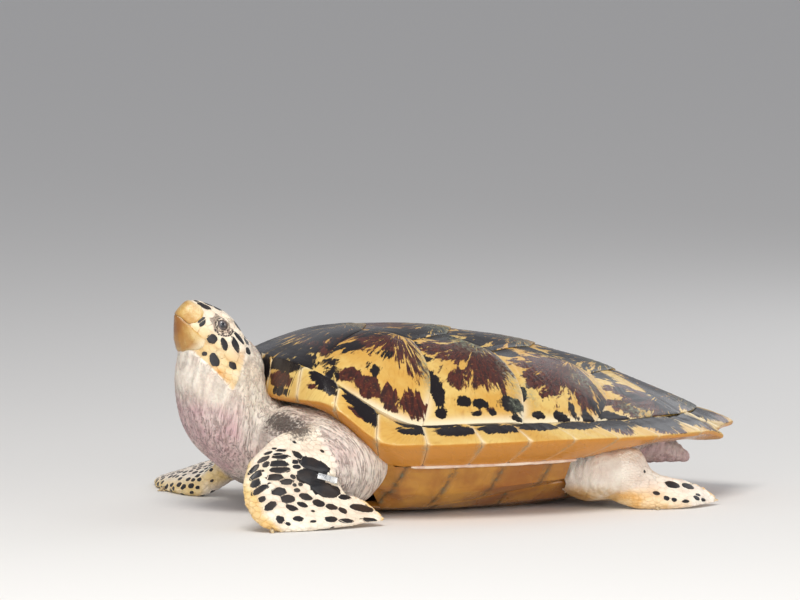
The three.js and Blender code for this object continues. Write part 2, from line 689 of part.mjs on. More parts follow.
const eye = raised(ellipsoid([EYE.back, -EYE.out, EYE.up], [EYE.radius, EYE.radius, EYE.radius], 12, 8));
addPair('eye', eye, 'eye');
const headWhole = raised(headBody());
const upper = raised(headRegion(UPPER_SHEATH));
const lower = raised(headRegion(LOWER_SHEATH));
add('upper_beak', geometryOf(solid(headWhole).intersect(solid(upper))), 'beak');
add('lower_beak', geometryOf(solid(headWhole).intersect(solid(lower))), 'beak');
add('head', geometryOf(clearOf(solid(headWhole), [upper, lower, eye, mirrored(eye)])), 'scaled');

const neck = fleshTube(NECK_FRONT, NECK_BACK, NECK_WIDTHS, 8, 12, 2.3);
const neckCutters = [core, ...shoulders, headWhole, ...overlapping(neck, shellPieces)];
add('neck', geometryOf(aboveGround(clearOf(solid(neck), neckCutters))), 'hide');

const tail = fleshTube(TAIL.top, TAIL.under, TAIL.widths, 5, 10, 2);
add('tail', geometryOf(clearOf(solid(tail), [core, ...overlapping(tail, shellPieces)])), 'hide');

const tag = placedTag();
add('flipper_tag', tag, 'steel');
const leftFront = blade(LEFT_FRONT.leading, LEFT_FRONT.trailing, LEFT_FRONT.thicknesses, 11);
const rightFront = blade(RIGHT_FRONT.leading, RIGHT_FRONT.trailing, RIGHT_FRONT.thicknesses, 11);
const frontCutters = (flipper) => [core, ...shoulders, neck, ...overlapping(flipper, shellPieces)];
const leftCutters = [...frontCutters(leftFront), tag];
add('front_flipper_left', geometryOf(aboveGround(clearOf(solid(leftFront), leftCutters))), 'scaled');
const rightCutters = frontCutters(rightFront);
add('front_flipper_right', geometryOf(aboveGround(clearOf(solid(rightFront), rightCutters))), 'scaled');

const thigh = ellipsoid(THIGH.centre, THIGH.radii, 10, 6);
const foot = blade(HIND.leading, HIND.trailing, HIND.thicknesses, 6);
const shellByFoot = new Set([...overlapping(thigh, shellPieces), ...overlapping(foot, shellPieces)]);
const hindCutters = [core, mirrored(core), tail, mirrored(pieces.get('plastron')), ...shellByFoot];
const hind = geometryOf(aboveGround(clearOf(solid(thigh).add(solid(foot)), hindCutters)));
addPair('hind_flipper', hind, 'scaled');

function addClaw(name, spec, body, { share, size }) {
  add(name, geometryOf(clearOf(aboveGround(solid(claw(spec, share, size))), [body])), 'claw');
}
addClaw('claw_front_left', LEFT_FRONT, leftFront, CLAWS.front);
addClaw('claw_front_right', RIGHT_FRONT, rightFront, CLAWS.front);
addClaw('claw_hind_left', HIND, foot, CLAWS.hind);
add('claw_hind_right', mirrored(pieces.get('claw_hind_left')), 'claw');

export default turtle;
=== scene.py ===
# %% [markdown]
# # A life-size hawksbill sea turtle
# This lesson dresses a set of CAD solids as a hawksbill that has just hauled itself out of
# the sea. The solids give the true sizes: a shell of overlapping horny plates called
# scutes, and flesh cut into head, neck, trunk, flippers and tail.
# We make the shell plates first, then one skin over all the flesh, then the scales.

# %% Load the solids
import json
import math
import bmesh
import bpy
import numpy as np
from mathutils import Matrix, Vector, noise
from mathutils.bvhtree import BVHTree
from mathutils.kdtree import KDTree

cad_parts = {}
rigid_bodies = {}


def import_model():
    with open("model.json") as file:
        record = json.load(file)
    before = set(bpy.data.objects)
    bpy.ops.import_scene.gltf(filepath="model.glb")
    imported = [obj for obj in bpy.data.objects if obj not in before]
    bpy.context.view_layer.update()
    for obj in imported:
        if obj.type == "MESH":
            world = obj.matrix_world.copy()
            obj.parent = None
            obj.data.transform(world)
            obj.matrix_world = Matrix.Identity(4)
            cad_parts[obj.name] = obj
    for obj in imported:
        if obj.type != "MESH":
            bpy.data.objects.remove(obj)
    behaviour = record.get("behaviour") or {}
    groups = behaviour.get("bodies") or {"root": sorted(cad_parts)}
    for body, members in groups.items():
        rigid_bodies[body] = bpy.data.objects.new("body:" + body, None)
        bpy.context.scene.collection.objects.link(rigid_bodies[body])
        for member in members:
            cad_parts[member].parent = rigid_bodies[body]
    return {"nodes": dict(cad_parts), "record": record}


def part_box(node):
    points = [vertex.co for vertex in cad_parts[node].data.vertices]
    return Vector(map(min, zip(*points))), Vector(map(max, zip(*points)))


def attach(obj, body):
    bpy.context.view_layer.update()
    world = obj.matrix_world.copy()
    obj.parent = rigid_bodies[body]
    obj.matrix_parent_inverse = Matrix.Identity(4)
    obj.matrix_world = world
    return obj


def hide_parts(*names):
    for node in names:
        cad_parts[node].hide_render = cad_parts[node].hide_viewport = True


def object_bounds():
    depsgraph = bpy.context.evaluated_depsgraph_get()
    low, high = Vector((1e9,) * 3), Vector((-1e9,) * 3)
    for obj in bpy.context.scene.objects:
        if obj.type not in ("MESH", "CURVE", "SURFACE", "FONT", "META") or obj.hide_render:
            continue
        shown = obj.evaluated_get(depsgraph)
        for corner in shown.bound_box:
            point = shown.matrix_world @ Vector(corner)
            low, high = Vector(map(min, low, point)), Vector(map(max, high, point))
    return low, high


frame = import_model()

NODES = frame["nodes"]
SLOTS = {part["node"]: part["material_slot"] for part in frame["record"]["subparts"]}
cad_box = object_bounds()
MM = 0.001
LEFT, RIGHT = -1, 1              # the turtle's left side lies towards -Y
print(len(NODES), "solids, box", [[round(v, 3) for v in corner] for corner in cad_box])

# %% [markdown]
# ## Tools for the bench
# Each solid arrives as loose triangles. To work on one we take a copy and weld its corners,
# so that bevels and smoothing run across the faces. A finished piece is shaded smooth except
# where two faces meet at a real edge, and it is tied to the body that it belongs to.

# %% Copies and finished pieces
def work_on(mesh):
    work = bmesh.new()
    work.from_mesh(mesh)
    return work


def mesh_of(work, name):
    """Turns a finished work into a mesh."""
    mesh = bpy.data.meshes.new(name)
    work.to_mesh(mesh)
    work.free()
    return mesh


def merged_copy(node):
    copy = work_on(NODES[node].data)
    bmesh.ops.remove_doubles(copy, verts=copy.verts, dist=0.02 * MM)
    copy.normal_update()
    return copy


def split_faces(work, most=4):
    """Splits faces with more corners than most into triangles."""
    bmesh.ops.triangulate(work, faces=[f for f in work.faces if len(f.verts) > most])


def shade(mesh, crease_degrees):
    work = work_on(mesh)
    for face in work.faces:
        face.smooth = True
    for edge in work.edges:
        edge.smooth = edge.calc_face_angle(0) < math.radians(crease_degrees)
    work.to_mesh(mesh)
    work.free()


def in_scene(name, data):
    """An object with these data, put in the scene."""
    thing = bpy.data.objects.new(name, data)
    bpy.context.scene.collection.objects.link(thing)
    return thing


def finished(work, name, material, stands_for, crease_degrees=40):
    mesh = mesh_of(work, name)
    shade(mesh, crease_degrees)
    mesh.materials.clear()
    mesh.materials.append(material)
    piece = in_scene(name, mesh)
    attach(piece, "root")
    if stands_for:
        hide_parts(*stands_for)
    return piece

print("pieces can be copied and finished")

# %% [markdown]
# Many steps move every corner of a mesh at once, so we read the corners as a table, work on
# the table and put it back. `blurred` lets each corner drift towards its neighbours.
# That also shrinks a round shape, and `calmed` gives back what was lost.

# %% Corners as tables
def read_rows(items, title, width, kind=float):
    flat = np.empty(len(items) * width, dtype=kind)
    items.foreach_get(title, flat)
    return flat.reshape(-1, width)


def corners_of(mesh):
    return read_rows(mesh.vertices, "co", 3)


def edges_of(mesh):
    return read_rows(mesh.edges, "vertices", 2, np.int64)


def normals_of(mesh):
    return read_rows(mesh.vertex_normals, "vector", 3)


def put_corners(mesh, places):
    mesh.vertices.foreach_set("co", np.ascontiguousarray(places).ravel())
    mesh.update()


def neighbour_mean(values, edges):
    ends = np.concatenate([edges[:, 0], edges[:, 1]])
    others = np.concatenate([edges[:, 1], edges[:, 0]])
    count = np.bincount(ends, minlength=len(values))
    columns = values.reshape(len(values), -1)
    total = [np.bincount(ends, weights=column[others], minlength=len(values)) for column in columns.T]
    return (np.column_stack(total) / np.maximum(count, 1)[:, None]).reshape(values.shape)


def blurred(values, edges, rounds, strength):
    for _ in range(rounds):
        step = neighbour_mean(values, edges) - values
        values = values + (step.T * strength).T
    return values


def calmed(places, edges, rounds, strength):
    soft = blurred(places, edges, rounds, strength)
    return soft + blurred(places - soft, edges, rounds, strength)


def store(mesh, name, values):
    """Keeps one number, or three, at every corner, for a material to read."""
    values = np.asarray(values, dtype=float)
    kind, field = ("FLOAT", "value") if values.ndim == 1 else ("FLOAT_VECTOR", "vector")
    layer = mesh.attributes.new(name, kind, "POINT")
    layer.data.foreach_set(field, np.ascontiguousarray(values).ravel())


def smoothstep(low, high, value):
    share = np.clip((value - low) / (high - low), 0.0, 1.0)
    return share * share * (3 - 2 * share)


def lerp(start, end, share):
    return start + (end - start) * share


def as_mesh(holder):
    """The mesh that an object shows, after its modifiers; the object itself goes."""
    mesh = bpy.data.meshes.new_from_object(holder.evaluated_get(bpy.context.evaluated_depsgraph_get()))
    bpy.data.objects.remove(holder)
    return mesh


def finder(places):
    """A tree that finds the nearest of some places."""
    tree = KDTree(len(places))
    for index, place in enumerate(places):
        tree.insert(place, index)
    tree.balance()
    return tree


def corners_of_box(node_name):
    return np.array(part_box(node_name))


print("the plastron has", len(corners_of(NODES["plastron"].data)), "corners")

# %% [markdown]
# ## Node helpers
# A material is a small network. These helpers add a node, set its values and join it to
# others, and they wrap an effect that several materials share as a node group.

# %% Nodes and groups
def node(tree, kind, feeds=None, **settings):
    """Adds a node; feeds are values for its inputs, or other nodes' outputs to join to them."""
    made = tree.nodes.new("ShaderNode" + kind)
    for key, value in settings.items():
        setattr(made, key, value)
    for socket, value in (feeds or {}).items():
        if isinstance(value, bpy.types.NodeSocket):
            tree.links.new(value, made.inputs[socket])
        else:
            made.inputs[socket].default_value = value
    return made


def mixed(tree, share, below, above):
    return node(tree, "Mix", {0: share, 6: below, 7: above}, data_type="RGBA").outputs[2]


def sums(tree, operation, *values):
    return node(tree, "Math", dict(enumerate(values)), operation=operation).outputs[0]


def plus(tree, one, other):
    return sums(tree, "ADD", one, other)


def times(tree, one, other):
    return sums(tree, "MULTIPLY", one, other)


def ramp(tree, value, low, high, to_low=0.0, to_high=1.0):
    return node(tree, "MapRange", {0: value, 1: low, 2: high, 3: to_low, 4: to_high},
                interpolation_type="SMOOTHSTEP").outputs[0]


def here(tree):
    return node(tree, "TexCoord").outputs["Object"]


def stretched(tree, place, scale, turn=(0, 0, 0)):
    return node(tree, "Mapping", {"Vector": place, "Rotation": turn, "Scale": scale}).outputs[0]


def speckle(tree, place, scale, detail=2.0, roughness=0.5, distortion=0.0):
    """Noise read at a place: a number that wanders about one half."""
    feeds = {"Vector": place, "Scale": scale, "Detail": detail, "Roughness": roughness}
    return node(tree, "TexNoise", {**feeds, "Distortion": distortion}).outputs["Fac"]


def mark(tree, name, kind="Fac"):
    """A number, or with "Vector" a place, that store() has kept at the corners."""
    return node(tree, "Attribute", attribute_name=name, attribute_type="GEOMETRY").outputs[kind]


print("nodes can be joined")

# %% [markdown]
# A node group is made once and used in several materials. A new material begins with one
# surface shader, and `dress` joins to it what a network has worked out.

# %% Groups and materials
def group(name, inputs, outputs, build):
    """A node group whose inputs and outputs are (name, kind, default)."""
    made = bpy.data.node_groups.new(name, "ShaderNodeTree")
    for title, kind, default in inputs:
        socket = made.interface.new_socket(title, in_out="INPUT", socket_type="NodeSocket" + kind)
        if default is not None:
            socket.default_value = default
    for title, kind in outputs:
        made.interface.new_socket(title, in_out="OUTPUT", socket_type="NodeSocket" + kind)
    entry = made.nodes.new("NodeGroupInput").outputs
    leave = made.nodes.new("NodeGroupOutput").inputs
    for title, value in build(made, entry).items():
        made.links.new(value, leave[title])
    return made


def use(tree, made, **feeds):
    return node(tree, "Group", feeds, node_tree=made).outputs


def new_material(name, **constants):
    made = bpy.data.materials.new(name)
    made.use_nodes = True
    tree = made.node_tree
    surface = tree.nodes["Principled BSDF"]
    for title, value in constants.items():
        surface.inputs[title.replace("_", " ")].default_value = value
    return made, tree, surface.inputs


def dress(tree, surface, colour, rough, height, depth):
    """Joins colour, roughness (or None) and relief of a depth in metres to a surface."""
    tree.links.new(colour, surface["Base Color"])
    if rough is not None:
        tree.links.new(rough, surface["Roughness"])
    bump = node(tree, "Bump", {"Height": height, "Distance": depth, "Strength": 1.0})
    tree.links.new(bump.outputs[0], surface["Normal"])


print("materials can be made")

# %% [markdown]
# ## Colours of tortoiseshell
# Tortoiseshell is clear amber horn with russet and black stain laid down as each plate grew.
# Growth starts at one point near a plate's rear upper corner and spreads forwards and down,
# so the stain runs in rays from that point. We give every plate two kinds of numbers: `grain`,
# a place in polar coordinates round the growth point, and the strength of each stain.
# Noise stretched along the rays, and cut off at a level set by the strength, gives blotches
# with frayed ends.

# %% Shared effects
def build_streaks(tree, entry):
    wavy = speckle(tree, entry["Grain"], entry["Scale"], 8.0, 0.66, 0.3)
    level = node(tree, "MapRange", {0: entry["Amount"], 1: 0.0, 2: 1.0, 3: 0.8, 4: entry["Least"]}).outputs[0]
    low = sums(tree, "SUBTRACT", level, entry["Softness"])
    return {"Mask": ramp(tree, wavy, low, plus(tree, level, entry["Softness"]))}


STREAKS = group("Streaks along the grain",
                [("Grain", "Vector", None), ("Amount", "Float", 0.5), ("Scale", "Float", 1.0),
                 ("Softness", "Float", 0.03), ("Least", "Float", 0.36)], [("Mask", "Float")], build_streaks)


def build_clouding(tree, entry):
    share = ramp(tree, speckle(tree, here(tree), entry["Scale"], 4.0, 0.6), 0.35, 0.65)
    return {"Colour": mixed(tree, share, entry["Light"], entry["Deep"])}


CLOUDING = group("Slow change of colour",
                 [("Light", "Color", (1, 1, 1, 1)), ("Deep", "Color", (0, 0, 0, 1)),
                  ("Scale", "Float", 8.0)], [("Colour", "Color")], build_clouding)


def build_scratches(tree, _):
    place = here(tree)
    lines = speckle(tree, stretched(tree, place, (30.0, 420.0, 260.0), (0.3, 0.2, 0.5)), 1.0)
    pits = speckle(tree, place, 420.0, 3.0)
    wear = speckle(tree, place, 14.0, 3.0)
    return {"Height": plus(tree, times(tree, lines, 0.5), times(tree, pits, 0.5)),
            "Wear": ramp(tree, wear, 0.4, 0.7)}


SCRATCHES = group("Scratches and pits", [], [("Height", "Float"), ("Wear", "Float")], build_scratches)
print(len(bpy.data.node_groups), "shared effects")

# %% [markdown]
# The horn is built up in layers: clear amber, pale edges, russet stain, black stain and,
# over all, a thin film of dried algae.

# %% Tortoiseshell for the dome and the rim
HONEY = (0.70, 0.49, 0.155, 1)
ORANGE = (0.60, 0.33, 0.065, 1)
UNDERSIDE = (0.60, 0.245, 0.028, 1)
THREAD = (0.42, 0.17, 0.03, 1)
RUSSET = (0.085, 0.019, 0.012, 1)
DARK_RUSSET = (0.035, 0.012, 0.010, 1)
FLECK = (0.34, 0.13, 0.03, 1)
BLACK_HORN = (0.008, 0.005, 0.006, 1)
ALGAE = (0.13, 0.155, 0.10, 1)
DRY_ALGAE = (0.42, 0.44, 0.34, 1)
CREAM = (0.82, 0.73, 0.53, 1)


def tortoiseshell(name, scale, least):
    """Horn whose rays are scale streaks wide; least is the level that the fullest stain reaches."""
    made, tree, surface = new_material(name, Coat_Weight=0.14, Coat_Roughness=0.14, IOR=1.38)
    place, grain = here(tree), mark(tree, "grain", "Vector")
    kinds = ("dark", "russet", "algae", "pale", "under")
    dark, russet, algae, pale, under = (mark(tree, kind) for kind in kinds)

    def streaks(amount):
        return use(tree, STREAKS, Grain=grain, Amount=amount, Scale=scale, Softness=0.03, Least=least)["Mask"]

    threads = speckle(tree, grain, scale * 2.6, 4.0)
    flecks = speckle(tree, place, 190.0, 5.0, 0.7)
    mottle = speckle(tree, place, 160.0, 6.0, 0.7)
    colour = use(tree, CLOUDING, Light=HONEY, Deep=ORANGE, Scale=9.0)["Colour"]
    colour = mixed(tree, under, colour, UNDERSIDE)
    colour = mixed(tree, ramp(tree, threads, 0.5, 0.75, 0.0, 0.4), colour, THREAD)
    colour = mixed(tree, pale, colour, CREAM)
    tone = mixed(tree, ramp(tree, threads, 0.38, 0.62), DARK_RUSSET, RUSSET)
    tone = mixed(tree, ramp(tree, flecks, 0.57, 0.69, 0.0, 0.6), tone, FLECK)
    colour = mixed(tree, streaks(sums(tree, "MAXIMUM", russet, times(tree, dark, 0.92))), colour, tone)
    colour = mixed(tree, streaks(dark), colour, BLACK_HORN)
    film = times(tree, algae, ramp(tree, mottle, 0.38, 0.62))
    colour = mixed(tree, film, colour, mixed(tree, ramp(tree, mottle, 0.52, 0.7), ALGAE, DRY_ALGAE))
    marks = use(tree, SCRATCHES)
    rough = plus(tree, ramp(tree, marks["Wear"], 0, 1, 0.2, 0.36), times(tree, film, 0.35))
    dress(tree, surface, colour, rough, marks["Height"], 0.35 * MM)
    return made


DOME_HORN = tortoiseshell("dome_tortoiseshell", 1.5, 0.30)
RIM_HORN = tortoiseshell("rim_tortoiseshell", 1.4, 0.24)
print("tortoiseshell ready:", DOME_HORN.name, "and", RIM_HORN.name)

# %% [markdown]
# ## A smooth dome from coarse plates
# The solids' plates are faceted, which a wet shine would give away. If we lay a thin springy
# sheet over all their corners, the sheet finds the smooth dome that the facets stand for.
# Such a sheet has a formula, a thin-plate spline: each corner pulls on it, and we solve for
# the pulls once. Then any point of any plate can be set down on the same smooth dome.

# %% Lay a springy sheet over the dome
DOME_PLATES = ([f"vertebral_{n}" for n in range(1, 6)]
               + [f"costal_{side}_{n}" for side in ("left", "right") for n in range(1, 5)])
dome_boxes = [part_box(plate) for plate in DOME_PLATES]
dome_low = np.min([low for low, high in dome_boxes], axis=0)
dome_high = np.max([high for low, high in dome_boxes], axis=0)
DOME_CENTRE = Vector(((dome_low[0] + dome_high[0]) / 2, 0, dome_low[2] - 60 * MM))
DOME_RADII = Vector(((dome_high[0] - dome_low[0]) / 2, dome_high[1], dome_high[2] - DOME_CENTRE.z))
FACE_UP = 0.6                    # a face of a plate's top agrees with outwards by more than this


def outwards(place):
    """Roughly square to the dome at a place, away from the turtle."""
    local = place - DOME_CENTRE
    return Vector([local[i] / DOME_RADII[i] ** 2 for i in range(3)]).normalized()


def top_faces(work):
    return [f for f in work.faces if f.normal.dot(outwards(f.calc_center_median())) > FACE_UP]


def springy_sheet(places, heights, softness):
    gaps = ((places[:, None] - places[None]) ** 2).sum(-1)
    pull = gaps * np.log(gaps + 1e-12)
    flat = np.column_stack([np.ones(len(places)), places])
    system = np.block([[pull + softness * np.eye(len(places)), flat], [flat.T, np.zeros((3, 3))]])
    solved = np.linalg.solve(system, np.concatenate([heights, np.zeros(3)]))
    return places, solved


def sheet_height(sheet, places):
    knots, solved = sheet
    heights = []
    for some in np.array_split(places, max(1, len(places) // 4000)):
        gaps = ((some[:, None] - knots[None]) ** 2).sum(-1)
        bend = (gaps * np.log(gaps + 1e-12)) @ solved[:-3]
        heights.append(bend + solved[-3] + some @ solved[-2:])
    return np.concatenate(heights)


def dome_corners():
    found = []
    for plate in DOME_PLATES:
        work = merged_copy(plate)
        corners = {v for f in top_faces(work) for v in f.verts}
        found += [tuple(v.co) for v in corners if v.index % 2 == 0]
        work.free()
    return np.array(found)


knots = dome_corners()
DOME = springy_sheet(knots[:, :2], knots[:, 2], 2e-3)
misfit = knots[:, 2] - sheet_height(DOME, knots[:, :2])
print(f"{len(knots)} corners, sheet misses them by {misfit.std() / MM:.2f} mm on average")


def dome_normals(places):
    step = 2 * MM
    slopes = []
    for axis in (0, 1):
        shift = np.zeros(2)
        shift[axis] = step
        slopes.append((sheet_height(DOME, places + shift) - sheet_height(DOME, places - shift)) / (2 * step))
    normals = np.column_stack([-slopes[0], -slopes[1], np.ones(len(places))])
    return normals / np.linalg.norm(normals, axis=1)[:, None]

# %% [markdown]
# ## Stains, plate by plate
# No two plates are stained alike, yet each kind of stain has its own place: rays from the
# growth point, a row of black blotches low on the flank, a dark band along the back.
# Each entry below is one patch: its middle and its half sizes as shares of the plate, from
# the front edge to the rear and from the top edge down, and how strong the stain is there.

# %% The stain of every plate
COSTAL_STAINS = {
    1: {"dark": [(.50, .08, .60, .16, .72), (.14, .50, .12, .30, .66), (.34, .34, .20, .10, .74),
                 (.08, .2, .14, .3, .84), (.62, .44, .12, .08, .7), (.50, .60, .10, .07, .7)],
        "russet": [(.42, .10, .55, .20, .84), (.28, .66, .13, .08, .95), (.42, .75, .14, .09, .95),
                   (.58, .81, .12, .11, .95), (.76, .84, .12, .12, .95), (.90, .92, .10, .12, .95),
                   (.85, .42, .2, .26, .8), (.62, .30, .34, .2, .8)],
        "algae": [(.98, .62, .06, .22, .8)], "centre": (.88, .12)},
    2: {"dark": [(.22, .70, .10, .15, 1.0), (.43, .81, .09, .06, 1.0), (.57, .84, .08, .05, .98),
                 (.84, .85, .14, .08, 1.0), (.40, .06, .50, .12, .92), (.16, .24, .10, .06, .9),
                 (.24, .44, .10, .05, .85), (.20, .90, .05, .04, .86), (.50, .92, .06, .03, .82),
                 (.86, .95, .08, .04, .86), (.66, .92, .05, .03, .82)],
        "russet": [(.76, .46, .26, .30, .92), (.58, .28, .40, .22, .9), (.50, .60, .28, .16, .8),
                   (.92, .20, .14, .3, .8), (.6, .9, .3, .05, .55)],
        "algae": [(.78, .14, .18, .14, .9), (.96, .5, .08, .3, .6), (.90, .84, .06, .1, .5),
                  (.05, .5, .05, .2, .9)], "centre": (.80, .08)},
    3: {"dark": [(.14, .22, .16, .10, .9), (.10, .70, .09, .10, .9), (.90, .70, .12, .18, .95),
                 (.72, .86, .08, .12, .95), (.44, .88, .09, .06, .9), (.50, .05, .5, .12, .9),
                 (.22, .90, .08, .05, .9), (.58, .80, .05, .10, .88), (.90, .88, .07, .08, .9)],
        "russet": [(.60, .36, .34, .28, .92), (.80, .56, .22, .24, .86), (.40, .56, .28, .2, .76),
                   (.3, .36, .2, .12, .72), (.55, .78, .3, .1, .6)],
        "algae": [(.84, .40, .14, .14, .6), (.2, .72, .05, .1, .6)], "centre": (.80, .12)},
    4: {"dark": [(.30, .24, .20, .10, .9), (.50, .42, .16, .08, .9), (.42, .88, .4, .10, .95),
                 (.88, .30, .2, .4, .84), (.80, .86, .2, .1, .9)],
        "russet": [(.60, .44, .34, .2, .95), (.80, .62, .24, .2, .86), (.40, .68, .3, .14, .74)],
        "algae": [(.52, .66, .16, .08, .8), (.88, .74, .12, .14, .9)], "centre": (.84, .2)},
}
VERTEBRAL_STAINS = {
    1: {"dark": [(.12, .5, .26, .9, .84), (.60, .30, .40, .6, .8)], "russet": [(.55, .4, .6, .7, .88)],
        "algae": [(.9, .1, .1, .3, .6)], "centre": (.80, 0)},
    2: {"dark": [(.30, .7, .4, .4, .82), (.75, .5, .36, .6, .78)], "russet": [(.5, .3, .6, .8, .82)],
        "algae": [(.85, .2, .15, .4, .8)], "centre": (.84, 0)},
    3: {"dark": [(.35, .5, .4, .6, .78), (.80, .7, .3, .4, .8)], "russet": [(.5, .3, .6, .8, .82)],
        "algae": [(.80, .2, .2, .4, .8)], "centre": (.84, 0)},
    4: {"dark": [(.40, .5, .4, .7, .76), (.8, .4, .3, .7, .78)], "russet": [(.6, .3, .5, .6, .8)],
        "algae": [(.80, .2, .2, .4, .5)], "centre": (.84, 0)},
    5: {"dark": [(.45, .5, .5, .7, .74), (.9, .3, .2, .6, .8)], "russet": [(.5, .5, .6, .8, .82)],
        "algae": [(.80, .3, .2, .4, .4)], "centre": (.86, 0)},
}
print("patches on costals:", [len(stains["dark"] + stains["russet"]) for stains in COSTAL_STAINS.values()])


def patches(along, down, stains, crispness=1.5):
    strength = np.zeros_like(along)
    for middle_along, middle_down, half_along, half_down, strongest in stains:
        away = ((along - middle_along) / half_along) ** 2 + ((down - middle_down) / half_down) ** 2
        strength = np.maximum(strength, strongest * np.exp(-0.7 * away ** crispness))
    return strength


def growth_places(places, centre, seed):
    """Polar coordinates round the growth point, scaled so that one unit is one streak wide."""
    away = places - centre
    spin = np.arctan2(away[:, 1], away[:, 0])
    reach = np.linalg.norm(away, axis=1)
    return np.column_stack([6.5 * spin, 17.0 * reach, np.full(len(places), float(seed))])


# %% [markdown]
# ## The plates of the dome
# A hawksbill's plates overlap like roof tiles: each one's rear edge rides over the plate
# behind. We copy a solid, split its top into small faces, set those down on the springy
# sheet and lift them slowly towards the rear. Low ridges follow the plate's outline: they
# mark the size that the plate had in earlier years.

# %% Shape one plate of the dome
PLATE_SPLITS = 6
FRONT_DIP = -1.0 * MM
REAR_LIFT = 2.4 * MM
REAR_REACH = 2.2 * MM            # how far a rear edge rides over the next plate
RIDGE = 0.45 * MM                # height and spacing of the ridges of growth
RIDGE_SPACING = 11 * MM
OUTLINE_CALMING = 40             # rounds that round off the outline between its true corners
CORNER_DEGREES = 24              # the outline turns more than this at a true corner
OUTLINE_REACH = 12 * MM          # how far in from the edge the new outline pulls the plate
WORN_EDGE, WORN_REACH = 0.9 * MM, 2.2 * MM
PALE_REACH = 10 * MM             # width of the pale band low on the flank


def ordered_edge(top):
    """The corners round the top's outline, in order."""
    inside = set(top)
    rim = [e for f in top for e in f.edges if sum(g in inside for g in e.link_faces) == 1]
    neighbours = {}
    for edge in rim:
        for v in edge.verts:
            neighbours.setdefault(v, []).append(edge.other_vert(v))
    loop = [rim[0].verts[0]]
    previous = None
    while True:
        step = next(v for v in neighbours[loop[-1]] if v is not previous)
        if step is loop[0] or len(loop) > len(neighbours):
            return loop
        previous = loop[-1]
        loop.append(step)


def softened(places, fixed, rounds):
    """Rounds off a closed line, apart from its true corners."""
    line = places.copy()
    for _ in range(rounds):
        calm = (np.roll(line, 1, 0) + 2 * line + np.roll(line, -1, 0)) / 4
        line = np.where(fixed[:, None], line, calm)
    return line


def true_corners(places, reach):
    """Which corners of a closed line are the sharpest turns within reach."""
    before = places - np.roll(places, reach, 0)
    after = np.roll(places, -reach, 0) - places
    turn = (before * after).sum(1) / (np.linalg.norm(before, axis=1) * np.linalg.norm(after, axis=1))
    sharp = turn < math.cos(math.radians(CORNER_DEGREES))
    strongest = np.array([turn[i] <= min(turn[(i + k) % len(turn)] for k in range(-reach, reach + 1))
                          for i in range(len(turn))])
    return sharp & strongest


def edge_distance(places, outline):
    """How far each place is from the outline, and which of its corners is nearest."""
    tree = finder([(*place, 0) for place in outline])
    found = [tree.find((*place, 0)) for place in places]
    return np.array([f[2] for f in found]), np.array([f[1] for f in found])


print("outlines are calmed", OUTLINE_CALMING, "times")

# %% [markdown]
# With the outline calmed, each plate is set down on the springy sheet. It keeps the stain's
# numbers at its corners, where the material reads them.

# %% Lay the plates
def ripples(plan, scale, seed):
    return np.array([noise.noise((p[0] * scale, p[1] * scale, seed)) for p in plan])


def flat_shape(top):
    """The plan of a plate's top and its calmed outline, which is moved out over the next plate."""
    corners = list({v for f in top for v in f.verts})
    spot = {v: i for i, v in enumerate(corners)}
    plan = np.array([v.co[:2] for v in corners])
    outline = plan[np.array([spot[v] for v in ordered_edge(top)])]
    calm = softened(outline, true_corners(outline, PLATE_SPLITS), OUTLINE_CALMING)
    way = np.roll(calm, -3, 0) - np.roll(calm, 3, 0)
    facing = np.column_stack([way[:, 1], -way[:, 0]]) / np.linalg.norm(way, axis=1)[:, None]
    if ((calm - calm.mean(0)) * facing).sum() < 0:
        facing = -facing
    rearward = smoothstep(0.15, 0.8, facing[:, 0])
    away, nearest = edge_distance(plan, outline)
    shift = (calm - outline) + facing * (REAR_REACH * rearward)[:, None]
    plan += shift[nearest] * np.exp(-(away / OUTLINE_REACH) ** 2)[:, None]
    return corners, plan, away


